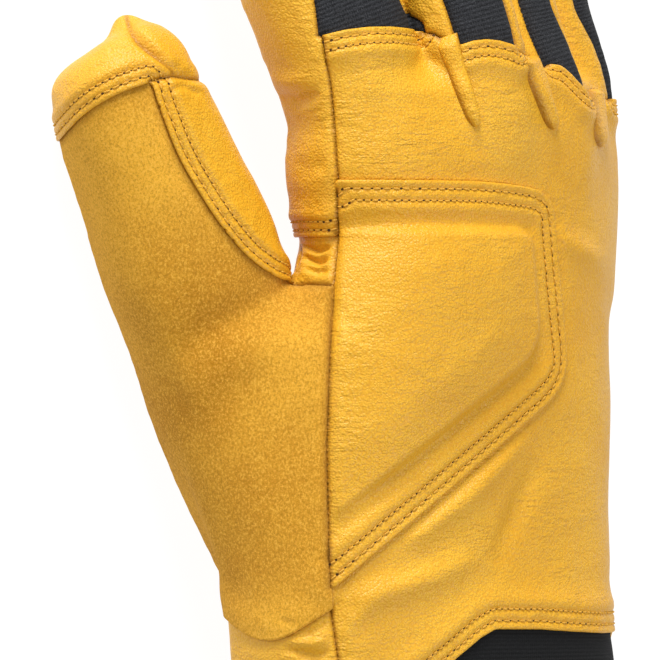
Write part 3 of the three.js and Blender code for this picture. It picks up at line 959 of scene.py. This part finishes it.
def contours(P, N, faces, value, level):
    """Chains of points and normals along value = level on a sheet."""
    g = value - level
    g = np.where(np.abs(g) < 1e-9, 1e-9, g)
    pairs, face_pairs_of = edges_of(faces)
    a, b = g[pairs[:, 0]], g[pairs[:, 1]]
    cross = (a < 0) != (b < 0)
    t = np.where(cross, a / np.where(cross, a - b, 1), 0)[:, None]
    points = P[pairs[:, 0]] * (1 - t) + P[pairs[:, 1]] * t
    slopes = N[pairs[:, 0]] * (1 - t) + N[pairs[:, 1]] * t
    hit = cross[face_pairs_of]
    rows = hit.sum(1) == 2
    links = face_pairs_of[rows][hit[rows]].reshape(-1, 2).tolist()
    beside = {}
    for one, two in links:
        beside.setdefault(one, []).append(two)
        beside.setdefault(two, []).append(one)
    seen = set()
    chains = []
    for start in sorted(beside, key=lambda edge: len(beside[edge])):
        if start in seen:
            continue
        chain = [start]
        seen.add(start)
        while True:
            following = [edge for edge in beside[chain[-1]] if edge not in seen]
            if not following:
                break
            chain.append(following[0])
            seen.add(following[0])
        closed = len(chain) > 2 and chain[0] in beside[chain[-1]]
        if closed:
            chain.append(chain[0])
        chains.append((points[chain], slopes[chain]))
    return chains


def evenly(points, slopes, pitch):
    """Places along a chain at even steps: centre, direction and normal."""
    for _ in range(4):
        points[1:-1] = points[1:-1] * 0.5 + (points[:-2] + points[2:]) * 0.25
    s = np.concatenate([[0], np.cumsum(np.linalg.norm(np.diff(points, axis=0), axis=1))])
    if s[-1] < 2 * pitch:
        return None
    at = np.arange(pitch / 2, s[-1], pitch)

    def placed(values, x):
        return np.stack([np.interp(x, s, values[:, k]) for k in range(3)], 1)

    centre = placed(points, at)
    ahead = pitch * 0.35
    along = placed(points, at + ahead) - placed(points, at - ahead)
    along /= np.linalg.norm(along, axis=1, keepdims=True) + 1e-9
    up = placed(slopes, at)
    up -= along * (up * along).sum(1, keepdims=True)
    up /= np.linalg.norm(up, axis=1, keepdims=True)
    return centre, along, up


# Half a stitch: places along it, the thread's radius there, and how high it stands
STITCH_HALF = [(0.3, 1.0, 0.08), (0.8, 0.9, -0.02), (1.0, 0.5, -0.22)]
STITCH_FORM = [(-x, radius, lift) for x, radius, lift in STITCH_HALF[::-1]] + STITCH_HALF
STITCH_SIDES = 7
STITCH_SHARE = 0.36  # half of a stitch's length, of the pitch
STITCH_LIFT = 0.12
STITCH_LEAN = 0.06
THREAD = 0.24
# The pricked hole between two stitches: half its length and width, and its height, middle and rim
HOLE_LONG, HOLE_WIDE, HOLE_LIFT, HOLE_MIDDLE, HOLE_RIM = 0.42, 0.36, 0.08, 0.03, -0.12


def stitches(centre, along, up, pitch):
    """Joined stitches and the holes between them as one mesh, and which of its points are of holes."""
    across = np.cross(along, up)
    angles = np.arange(STITCH_SIDES) / STITCH_SIDES * 2 * math.pi
    rings = []
    lean = RNG.normal(0, STITCH_LEAN, len(centre))[:, None]
    for x, radius, lift in STITCH_FORM:
        middle = centre + (along + across * lean) * (x * pitch * STITCH_SHARE) + up * (lift + STITCH_LIFT)
        for angle in angles:
            rings.append(middle + THREAD * radius * (across * math.cos(angle) + up * math.sin(angle)))
    hole = centre + along * (pitch / 2) + up * HOLE_LIFT
    first_hole = len(rings)
    rings.append(hole + up * HOLE_MIDDLE)
    for angle in angles:
        beside = along * HOLE_LONG * math.cos(angle) + across * HOLE_WIDE * math.sin(angle)
        rings.append(hole + beside + up * HOLE_RIM)
    P = np.stack(rings, 1).reshape(-1, 3)
    count = len(rings)
    tris = []
    for ring in range(len(STITCH_FORM) - 1):
        for side in range(STITCH_SIDES):
            a = ring * STITCH_SIDES + side
            b = ring * STITCH_SIDES + (side + 1) % STITCH_SIDES
            tris += [(a, a + STITCH_SIDES, b), (b, a + STITCH_SIDES, b + STITCH_SIDES)]
    last = first_hole - STITCH_SIDES
    for side in range(1, STITCH_SIDES - 1):
        tris += [(0, side, side + 1), (last, last + side + 1, last + side)]
    for side in range(STITCH_SIDES):
        tris.append((first_hole, first_hole + 1 + (side + 1) % STITCH_SIDES, first_hole + 1 + side))
    tris = np.array(tris)
    is_hole = np.tile(np.arange(count) >= first_hole, len(centre)).astype(float)
    return P, (tris[None] + (np.arange(len(centre)) * count)[:, None, None]).reshape(-1, 3), is_hole


# Objects

# The move from the hand frame to the part's, found from the hem's middle and top
hem_low, hem_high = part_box("cuff_hem")
hem_middle = TUBES["hand"]["rows"][0][0]
hem_top = CUFF_END + HEM_DEPTH
SHIFT = np.array([(hem_low[0] + hem_high[0]) * 500 - hem_middle, hem_high[1] * 1000 - hem_top, 0])


def in_scene(name, data):
    obj = bpy.data.objects.new(name, data)
    bpy.context.scene.collection.objects.link(obj)
    return obj


def made(name, P, faces, materials, facts=None):
    """A smooth mesh object that rides on the glove, from points in millimetres in the hand frame."""
    mesh = bpy.data.meshes.new(name)
    mesh.vertices.add(len(P))
    mesh.vertices.foreach_set("co", ((P + SHIFT) / 1000).astype(np.float32).ravel())
    mesh.loops.add(faces.size)
    mesh.loops.foreach_set("vertex_index", faces.astype(np.int32).ravel())
    mesh.polygons.add(len(faces))
    mesh.polygons.foreach_set("loop_start", np.arange(0, faces.size, 3, dtype=np.int32))
    mesh.update(calc_edges=True)
    mesh.shade_smooth()
    for key, values in (facts or {}).items():
        layer = mesh.attributes.new(key, "FLOAT", "POINT")
        layer.data.foreach_set("value", values.astype(np.float32))
    mesh.materials.append(materials)
    obj = in_scene(name, mesh)
    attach(obj, "root")
    return obj


# Materials

def nodes_of(name):
    material = bpy.data.materials.new(name)
    material.use_nodes = True
    tree = material.node_tree
    return material, tree, tree.nodes["Principled BSDF"]


def link(tree, source, target):
    tree.links.new(source, target)


def put(node, **values):
    """Sets a node's own sockets by their names, with _ for each space."""
    for key, value in values.items():
        node.inputs[key.replace("_", " ")].default_value = value


def add(tree, kind, **values):
    node = tree.nodes.new(kind)
    put(node, **values)
    return node


def millimetres(tree):
    """Places on the object in millimetres."""
    coordinates = tree.nodes.new("ShaderNodeTexCoord")
    scale = tree.nodes.new("ShaderNodeVectorMath")
    scale.operation = "SCALE"
    put(scale, Scale=1000)
    link(tree, coordinates.outputs["Object"], scale.inputs[0])
    return scale.outputs[0]


def vector_node(tree, operation, vector, by, plus=None):
    """A vector times a constant one, with another added where there is one."""
    node = tree.nodes.new("ShaderNodeVectorMath")
    node.operation = operation
    link(tree, vector, node.inputs[0])
    node.inputs[1].default_value = by
    if plus is not None:
        link(tree, plus, node.inputs[2])
    return node.outputs[0]


def noise(tree, where, scale, detail=2.0, roughness=0.5):
    node = add(tree, "ShaderNodeTexNoise", Scale=scale, Detail=detail, Roughness=roughness)
    link(tree, where, node.inputs["Vector"])
    return node.outputs["Fac"]


def math_node(tree, operation, a, b=None, clamp=False):
    node = tree.nodes.new("ShaderNodeMath")
    node.operation = operation
    node.use_clamp = clamp
    for socket, value in zip(node.inputs, (a, b)):
        if value is None:
            continue
        if isinstance(value, (int, float)):
            socket.default_value = value
        else:
            link(tree, value, socket)
    return node.outputs[0]


def mix_colors(tree, factor, one, two):
    node = tree.nodes.new("ShaderNodeMix")
    node.data_type = "RGBA"
    link(tree, factor, node.inputs["Factor"])
    for socket, value in ((node.inputs["A"], one), (node.inputs["B"], two)):
        if isinstance(value, tuple):
            socket.default_value = (*value, 1)
        else:
            link(tree, value, socket)
    return node.outputs["Result"]


def ranged(tree, value, low, high, to_low=0.0, to_high=1.0):
    node = add(tree, "ShaderNodeMapRange", From_Min=low, From_Max=high, To_Min=to_low, To_Max=to_high)
    link(tree, value, node.inputs["Value"])
    return node.outputs["Result"]


def bumps(tree, shader, layers):
    """Chained bumps: each a height, its depth in metres, below zero where it sinks in, and its strength."""
    last = None
    for height, depth, strength in layers:
        node = add(tree, "ShaderNodeBump", Strength=strength, Distance=abs(depth))
        node.invert = depth < 0
        link(tree, height, node.inputs["Height"])
        if last is not None:
            link(tree, last, node.inputs["Normal"])
        last = node.outputs["Normal"]
    link(tree, last, shader.inputs["Normal"])


def attribute(tree, name):
    node = tree.nodes.new("ShaderNodeAttribute")
    node.attribute_name = name
    return node.outputs["Fac"]


def shaded_by_seams(tree, tone, reach, share, dark):
    """A colour that darkens along the seams: painted shade."""
    near = ranged(tree, attribute(tree, "seam"), 0.0, reach, 1.0, 0.0)
    return mix_colors(tree, math_node(tree, "MULTIPLY", near, share, True), tone, dark)


# Colours, each pair from dark to pale
LEATHER_TONES = [(0.7, 0.362, 0.016), (0.76, 0.42, 0.026)]
# Painted shade: LEATHER_CREASE_SHADE is the colour that the grain's creases darken to, LEATHER_SEAM_SHADE the
# colour beside the seams
LEATHER_CREASE_SHADE, LEATHER_SEAM_SHADE = (0.6, 0.25, 0.008), (0.25, 0.085, 0.003)
SUEDE_TONES = [(0.52, 0.206, 0.005), (0.96, 0.49, 0.038)]
NAP_TONES = [(0.34, 0.136, 0.004), (1.0, 0.59, 0.09)]
# Painted shade beside the suede's seams
SUEDE_SEAM_SHADE = (0.3, 0.13, 0.01)
SHEEN = (1.0, 0.78, 0.4, 1)
CLOTH_TONES = [(0.004, 0.0044, 0.0056), (0.017, 0.0178, 0.021)]
CLOTH_LINT = (0.11, 0.115, 0.125)
THREAD_TONES = [(0.58, 0.29, 0.026), (0.68, 0.38, 0.055)]
# Painted shade: the dark colour of the pricked holes
HOLE_SHADE = (0.07, 0.026, 0.004)
LINING_TONE = (0.02, 0.02, 0.024)
FLOOR_TONE = (0.12, 0.12, 0.12)

# Distances between a cloth's ribs and between its yarns, and how strong the yarns are beside the ribs
RIB_PITCH, YARN_PITCH, YARN_SHARE = 1.05, 0.62, 0.35


def grain_leather():
    material, tree, shader = nodes_of("grain_leather_finish")
    where = millimetres(tree)
    cells = add(tree, "ShaderNodeTexVoronoi", Scale=1.6, Randomness=0.85)
    cells.feature = "F1"
    wobble = add(tree, "ShaderNodeTexNoise", Scale=0.9, Detail=1.0)
    link(tree, where, wobble.inputs["Vector"])
    shifted = vector_node(tree, "MULTIPLY_ADD", wobble.outputs["Color"], (0.7, 0.7, 0.7), where)
    link(tree, shifted, cells.inputs["Vector"])
    pebble = cells.outputs["Distance"]
    fine = noise(tree, where, 3.2, 3.0, 0.6)
    wrinkle = noise(tree, where, 0.26, 3.0, 0.55)
    gathers = noise(tree, vector_node(tree, "MULTIPLY", where, (0.3, 1.0, 0.3)), 0.75, 3.0, 0.6)
    patchy = ranged(tree, noise(tree, where, 0.055, 2.0), 0.45, 0.62)
    gathers = math_node(tree, "MULTIPLY", gathers, patchy)
    broad = noise(tree, where, 0.03, 2.0)
    tone = mix_colors(tree, ranged(tree, broad, 0.35, 0.65), *LEATHER_TONES)
    # The grain's creases are darkened in colour: painted shade
    crease_shade = ranged(tree, pebble, 0.3, 0.7)
    tone = mix_colors(tree, math_node(tree, "MULTIPLY", crease_shade, 0.45), tone, LEATHER_CREASE_SHADE)
    tone = shaded_by_seams(tree, tone, 0.8, 0.75, LEATHER_SEAM_SHADE)
    link(tree, tone, shader.inputs["Base Color"])
    link(tree, ranged(tree, fine, 0.3, 0.7, 0.38, 0.5), shader.inputs["Roughness"])
    put(shader, Specular_IOR_Level=0.36)
    bumps(tree, shader, [
        (wrinkle, 0.0006, 0.6),
        (pebble, -0.0002, 1.0),
        (gathers, 0.0006, 1.0),
        (fine, 0.00008, 0.4),
    ])
    return material


def suede():
    material, tree, shader = nodes_of("suede_finish")
    where = millimetres(tree)
    nap = noise(tree, vector_node(tree, "MULTIPLY", where, (1.0, 0.75, 1.0)), 1.9, 5.0, 0.8)
    fine = noise(tree, where, 5.0, 2.0, 0.6)
    broad = noise(tree, where, 0.055, 4.0, 0.6)
    # The suede's painted light and shade, with a random tone on top
    shade = math_node(tree, "ADD", attribute(tree, "suede_light_and_shade"), ranged(tree, broad, 0.35, 0.65, -0.25, 0.25))
    tone = mix_colors(tree, ranged(tree, shade, -1.0, 1.0), *SUEDE_TONES)
    tone = mix_colors(tree, ranged(tree, nap, 0.5, 0.64, 0.0, 0.75), tone, NAP_TONES[1])
    tone = mix_colors(tree, ranged(tree, nap, 0.36, 0.5, 0.55, 0.0), tone, NAP_TONES[0])
    tone = shaded_by_seams(tree, tone, 2.2, 0.45, SUEDE_SEAM_SHADE)
    link(tree, tone, shader.inputs["Base Color"])
    put(shader, Roughness=0.95, Specular_IOR_Level=0.15)
    put(shader, Sheen_Weight=0.12, Sheen_Roughness=0.6, Sheen_Tint=SHEEN)
    bumps(tree, shader, [(nap, 0.00075, 0.8), (fine, 0.0003, 0.7)])
    return material


def stretch_cloth(name, share):
    """Ribbed cloth whose colours are a share of the full ones."""
    material, tree, shader = nodes_of(name)
    dark, pale, lint = [tuple(part * share for part in tone) for tone in (*CLOTH_TONES, CLOTH_LINT)]
    where = millimetres(tree)
    along = attribute(tree, "along")
    around = attribute(tree, "around")
    rib = math_node(tree, "SINE", math_node(tree, "MULTIPLY", along, 2 * math.pi / RIB_PITCH))
    yarn = math_node(tree, "SINE", math_node(tree, "MULTIPLY", around, 2 * math.pi / YARN_PITCH))
    weave = math_node(tree, "ADD", rib, math_node(tree, "MULTIPLY", yarn, YARN_SHARE))
    fine = noise(tree, where, 4.0, 3.0, 0.6)
    tone = mix_colors(tree, ranged(tree, weave, -1.2, 1.2), dark, pale)
    tone = mix_colors(tree, ranged(tree, fine, 0.5, 0.7, 0.0, 0.5), tone, lint)
    link(tree, tone, shader.inputs["Base Color"])
    put(shader, Roughness=0.85, Specular_IOR_Level=0.25)
    bumps(tree, shader, [(weave, 0.00008, 0.6), (fine, 0.0001, 0.5)])
    return material


def thread():
    material, tree, shader = nodes_of("thread_finish")
    where = millimetres(tree)
    twist = noise(tree, where, 6.0, 2.0, 0.6)
    tone = mix_colors(tree, ranged(tree, twist, 0.35, 0.65), *THREAD_TONES)
    # The holes take the dark colour: painted shade
    tone = mix_colors(tree, attribute(tree, "hole"), tone, HOLE_SHADE)
    link(tree, tone, shader.inputs["Base Color"])
    put(shader, Roughness=0.6, Specular_IOR_Level=0.2)
    bumps(tree, shader, [(twist, 0.00012, 0.5)])
    return material


def plain(name, color, roughness, grain=None):
    """One colour, with a fine grain where its scale is given."""
    material, tree, shader = nodes_of(name)
    put(shader, Base_Color=(*color, 1), Roughness=roughness)
    if grain:
        where = millimetres(tree)
        bumps(tree, shader, [(noise(tree, where, grain, 3.0, 0.6), 0.00015, 0.6)])
    return material


FINISH = {
    "grain_leather": grain_leather(),
    "suede": suede(),
    "stretch_cloth": stretch_cloth("finger_cloth_finish", 1.0),
    # The cuff and its hem wear the finger cloth at a fifth of its colours: painted shade
    "cuff_shaded_cloth": stretch_cloth("cuff_shaded_cloth_finish", 0.2),
    "thread": thread(),
    "lining": plain("lining_finish", LINING_TONE, 0.95, 3.0),
}


# Panels

def cloth_places(name, P):
    """Along and across a cloth panel, for its ribs."""
    finger = name.replace("_back", "")
    tube = finger if finger in FRAMES else "hand"
    _, along, across, _ = locate(P, FRAMES[tube])
    return along, across


def edges_by_kind(name):
    """A panel's seams by kind: it laps over the other panel, lies under it, or is sewn to it inside out."""
    code = CODE[name]
    mine = (left == code) | (right == code)
    other = np.where(left == code, right, left)
    kinds = {"top": [], "under": [], "butt": []}
    for neighbour in np.unique(other[mine]):
        if neighbour < 0:
            continue
        pair = (name, NAMES[neighbour])
        kind = "top" if pair in LAPPED else "under" if pair[::-1] in LAPPED else "butt"
        kinds[kind].append(edges[mine & (other == neighbour)])
    return kinds


def facts_of(name, P, N, seam):
    """What the materials read at a panel's points."""
    facts = {"seam": seam}
    # On the thumb's cap the crease along CAP_SEAM counts as a seam too, so its colour darkens: painted shade
    # in the crease
    if name == "thumb_cap":
        on_cap = nearest_on_line(on_sight(P), np.array(CAP_SEAM))[0]
        facts["seam"] = np.minimum(seam, np.where(N @ W_AXIS > 0, on_cap, FAR))
    if name == "thumb_patch":
        # Painted light and shade on the suede, pale and dark spots on the sight plane
        uv = on_sight(P)
        facts["suede_light_and_shade"] = sum(
            pale * np.exp(-((uv - place) ** 2).sum(1) / radius**2) for place, radius, pale in SUEDE_LIGHT_AND_SHADE)
    if name in CLOTH:
        facts["along"], facts["around"] = cloth_places(name, P)
    return facts


def sewn(name, sheet, N, faces, d_top):
    """A panel's stitch rows, as one object."""
    found = []
    for distance, pitch in zip(STITCH_ROWS, STITCH_PITCH):
        for chain, slopes in contours(sheet, N, faces, d_top, distance):
            row = evenly(chain, slopes, pitch)
            if row:
                found.append(stitches(*row, pitch))
    if not found:
        return
    starts = np.cumsum([0] + [len(points) for points, _, _ in found])
    points = np.vstack([points for points, _, _ in found])
    tris = np.vstack([tris + start for (_, tris, _), start in zip(found, starts)])
    hole = np.concatenate([hole for _, _, hole in found])
    made(f"{name}_stitches", points, tris, FINISH["thread"], {"hole": hole})


FRONTS = [f"{name}_front" for name in (*FINGERS, "thumb")]
SPREAD_FROM = -55  # the rows keep their full spread at the wrist, below this place along Y
LAP_ROLL, SUNK_ROLL = 0.45, 0.06  # an edge's roll, where it laps over another panel and elsewhere
LAP_NEAR = 0.35
FLOOR_GAP = 0.02

for name in NAMES:
    faces = F[labels == CODE[name]]
    if len(faces) == 0:
        continue
    used, faces = renumbered(faces)
    P, N = V[used], normals[used]
    kinds = edges_by_kind(name)
    apart = {
        kind: distance_to(P, samples_on(V, np.vstack(found)) if found else [])
        for kind, found in kinds.items()
    }
    if name not in ("padded_panel", "palm"):
        apart["top"] = apart["top"] / np.where(P[:, 1] > SPREAD_FROM, SMALL_SPREAD, 1)
    lift = relief(name, P, N, apart["top"], apart["under"], apart["butt"])
    sheet = P + N * lift[:, None]
    sheet[:, 2] = np.maximum(sheet[:, 2], FLOOR_GAP)
    roll = np.where(apart["top"] < LAP_NEAR, LAP_ROLL, SUNK_ROLL)
    points, tris, rim = closed_panel(sheet, N, faces, roll)
    # The colour darkens near seams where a panel lies under another or is sewn inside out: painted shade
    facts = {
        key: np.concatenate([values, values[rim], values[rim], values])
        for key, values in facts_of(name, P, N, np.minimum(apart["under"], apart["butt"])).items()
    }
    slot = "suede" if name == "thumb_patch" else "stretch_cloth" if name in CLOTH else "grain_leather"
    finish = FINISH["cuff_shaded_cloth" if name == "cuff" else slot]
    piece = made(f"{name}_skin", points, tris, finish, facts)
    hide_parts(name, *(FRONTS if name == "palm" else []))
    if kinds["top"] and name != "thumb_patch":
        sewn(name, sheet, N, faces, apart["top"])


# Hem: the cuff's cloth folded round its end

def hand_ring(y, angles, outside):
    """Points round the hand's tube at a place along Y, moved outwards."""
    table = FRAMES["hand"]["table"]
    row = np.array([np.interp(y, table[:, 1], table[:, k]) for k in range(15)])
    curve = [np.sign(part) * np.abs(part) ** (2 / SQUARENESS) for part in (np.cos(angles), np.sin(angles))]
    across = (row[12] + outside) * curve[0]
    up = (row[13] + outside) * curve[1]
    points = row[:3] + across[:, None] * row[6:9] + up[:, None] * row[9:12]
    points[:, 2] = np.maximum(points[:, 2], FLOOR_GAP + max(0.0, -outside))
    return points


# The hem's section: places below its top and above the cuff's end, each with how far outside the hand's tube
HEM_OUTER = [(0.1, 0.1), (0.3, 0.8), (0.9, 1.15), (2.2, 1.0), (3.2, 1.15)]
HEM_FOLD = [(4.5, 1.2), (2.2, 1.15), (0.8, 0.8), (0.15, 0.1), (0, -0.9), (0.15, -2.0), (0.8, -2.7), (3, -3.0)]
HEM_SIDES = 260

angles = np.linspace(0, 2 * math.pi, HEM_SIDES, endpoint=False)
profile = [(hem_top - below, outside) for below, outside in HEM_OUTER]
profile += [(CUFF_END + above, outside) for above, outside in HEM_FOLD]
profile.append((hem_top - 0.1, -3.0))
P = np.vstack([hand_ring(y, angles, outside) for y, outside in profile])
tris = []
side = np.arange(HEM_SIDES)
turn = np.roll(side, -1)
for k in range(len(profile)):
    low = k * HEM_SIDES
    high = (k + 1) % len(profile) * HEM_SIDES
    tris.append(columns(low + side, low + turn, high + turn))
    tris.append(columns(low + side, high + turn, high + side))
tris = np.vstack(tris)
_, along, across, _ = locate(P, FRAMES["hand"])
hem = made("cuff_hem_fold", P, tris, FINISH["cuff_shaded_cloth"],
           {"seam": np.full(len(P), FAR), "along": along, "around": across})
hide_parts("cuff_hem")


# Lining, which shows inside the cuff

LINING_OUT = 1.9  # how deep in the wall its outer side lies
LINING_STEP = 3.0
LINING_END = CUFF_END + 1.5
LINING_ROLL = 0.05

P, quads = grid_surface(LINING_STEP, *FORM_BOX, -LINING_OUT)
faces = triangles_of(P, quads)
used, faces = renumbered(faces[(P[faces][:, :, 1] > LINING_END).all(1)])
P = P[used]
N = form_slope(P)[0]
points, tris, _ = closed_panel(P, N, faces, np.full(len(P), LINING_ROLL), WALL - LINING_OUT)
lining = made("glove_lining", points, tris, FINISH["lining"])


# Ribs: the fourchettes' raised tails between the knuckles

# Start and end on the sight plane, half width at the start and at the end
RIBS = {
    "index_middle_rib": ((27.6, 70), (34.8, 48.2), 2.5, 1.5),
    "middle_ring_rib": ((47.4, 66), (53.6, 48.2), 1.9, 1.4),
    "ring_little_rib": ((64.2, 59), (65.6, 44.4), 1.6, 1.2),
}
RIB_HEIGHT = 2.6
RIB_SPREAD = 1.15  # a rib's foot is this much wider than its half width says
RIB_ROUNDNESS = 2.2
RIB_TAPER_FROM = 0.8
RIB_SUNK, RIB_FOOT = 0.25, 0.5  # how far its top starts and its underside lies below the leather
RIB_ROWS, RIB_COLUMNS = 60, 25
SIGHT_START = 75.0  # lines of sight start this high


def onto_form(uv):
    """Where lines of sight meet the glove."""
    plane = (uv[:, :1] - SIGHT_OFFSET) * U_AXIS + uv[:, 1:] * np.array([0, 1, 0])
    depth = np.full(len(uv), SIGHT_START)
    for _ in range(60):
        depth -= form(plane + depth[:, None] * W_AXIS) * 0.8
    return plane + depth[:, None] * W_AXIS


def rib_faces(top, N):
    """Triangles of a rib: its top grid, facing out, its underside, and the wall round both."""
    count = RIB_ROWS * RIB_COLUMNS
    index = np.arange(count).reshape(RIB_ROWS, RIB_COLUMNS)
    corners = index[:-1, :-1], index[1:, :-1], index[1:, 1:], index[:-1, 1:]
    quads = np.stack(corners, -1).reshape(-1, 4)
    tris = np.vstack([quads[:, [0, 1, 2]], quads[:, [0, 2, 3]]])
    normal = np.cross(top[tris[0, 1]] - top[tris[0, 0]], top[tris[0, 2]] - top[tris[0, 0]])
    if normal @ N[tris[0, 0]] < 0:
        tris = tris[:, ::-1]
    pairs = sides_of(tris)
    lone = ~np.isin(pairs[:, 0] * count + pairs[:, 1], pairs[:, 1] * count + pairs[:, 0])
    a, b = pairs[lone].T
    wall = [columns(b, a, a + count), columns(b, a + count, b + count)]
    return np.vstack([tris, *wall, tris[:, ::-1] + count])


t = np.linspace(0, 1, RIB_ROWS)
past = (t - RIB_TAPER_FROM) / (1 - RIB_TAPER_FROM)
taper = np.where(t < RIB_TAPER_FROM, 1, np.sqrt(np.maximum(1 - past**2, 0.0004)))
grid_t, grid_a = np.meshgrid(t, np.linspace(-1, 1, RIB_COLUMNS), indexing="ij")
section = np.sqrt(np.maximum(1 - np.abs(grid_a) ** RIB_ROUNDNESS, 0))
rise = np.sqrt(taper) * ramp(t, -0.02, 0.12)
for name, (start, end, half, end_half) in RIBS.items():
    start, end = np.array(start), np.array(end)
    length = np.linalg.norm(end - start)
    forward = (end - start) / length
    sideways = np.array([forward[1], -forward[0]])
    width = (RIB_SPREAD * taper * (half + (end_half - half) * t))[:, None]
    uv = start + forward * (grid_t * length)[..., None] + sideways * (grid_a * width)[..., None]
    P = onto_form(uv.reshape(-1, 2))
    N = form_slope(P)[0]
    height = (RIB_HEIGHT * section * rise[:, None]).ravel() - RIB_SUNK
    top = P + N * height[:, None]
    under = P - N * RIB_FOOT
    # The ribs' sides count as near a seam, so the leather's colour darkens there: painted shade along the
    # ribs' sides
    seam = np.concatenate([(1 - np.abs(grid_a)).ravel() * half, np.zeros(len(P))])
    points = np.vstack([top, under])
    faces = rib_faces(top, N)
    rib = made(f"{name}_skin", points, faces, FINISH["grain_leather"], {"seam": seam})
    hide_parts(name)


# Surroundings: a pale floor, soft light from above the fingers' side, and a long lens

FLOOR_HALF, FLOOR_DROP = 4, 0.0005
EYE_DISTANCE = 1.8  # in metres
SENSOR = 36
SIGHT_HEIGHT = 34  # in millimetres, how far up the line of sight the point lies that the eye looks at

# Places from where the eye looks, along u, Y and towards the eye, in metres, then size and power
LIGHTS = {
    "key_light": ((0.05, 1.1, 0.8), 0.35, 9.8),
    "edge_light": ((-0.1, 1.25, 0.42), 0.3, 13.5),
    "right_light": ((1.0, -0.5, 0.65), 0.6, 7.2),
    "fill_light": ((-1.0, 0.2, 0.8), 0.8, 4.2),
}


def area_light(name, place, target, size, power):
    data = bpy.data.lights.new(name, "AREA")
    data.shape = "DISK"
    data.size = size
    data.energy = power
    light = in_scene(name, data)
    light.location = place
    light.rotation_euler = (Vector(target) - Vector(place)).to_track_quat("-Z", "Y").to_euler()


floor_mesh = bpy.data.meshes.new("floor")
corners = [(x * FLOOR_HALF, y * FLOOR_HALF, 0) for x, y in ((-1, -1), (1, -1), (1, 1), (-1, 1))]
floor_mesh.from_pydata(corners, [], [(0, 1, 2, 3)])
floor = in_scene("floor", floor_mesh)
floor.location.z = -FLOOR_DROP
white = plain("floor_white", FLOOR_TONE, 1.0)
glow = white.node_tree.nodes["Principled BSDF"]
put(glow, Specular_IOR_Level=0, Emission_Color=(1, 1, 1, 1), Emission_Strength=0.95)
floor_mesh.materials.append(white)

world = bpy.data.worlds.new("white_room")
world.use_nodes = True
put(world.node_tree.nodes["Background"], Color=(1, 1, 1, 1), Strength=0.41)
bpy.context.scene.world = world

middle = (U_AXIS * -SIGHT_OFFSET + W_AXIS * SIGHT_HEIGHT + SHIFT) / 1000
eye = middle + W_AXIS * EYE_DISTANCE
for name, (place, size, power) in LIGHTS.items():
    where = middle + place[0] * U_AXIS + np.array([0, place[1], 0]) + place[2] * W_AXIS
    area_light(name, tuple(where), tuple(middle), size, power)

camera_data = bpy.data.cameras.new("camera")
camera_data.sensor_width = SENSOR
camera_data.lens = SENSOR * EYE_DISTANCE / (FRAME_WIDTH / 1000)
camera_data.clip_end = 20
camera = in_scene("camera", camera_data)
turn = Matrix(columns(U_AXIS, [0, 1, 0], W_AXIS).tolist()).to_4x4()
camera.matrix_world = Matrix.Translation(Vector(eye.tolist())) @ turn
bpy.context.scene.camera = camera
bpy.context.scene.view_settings.view_transform = "Standard"
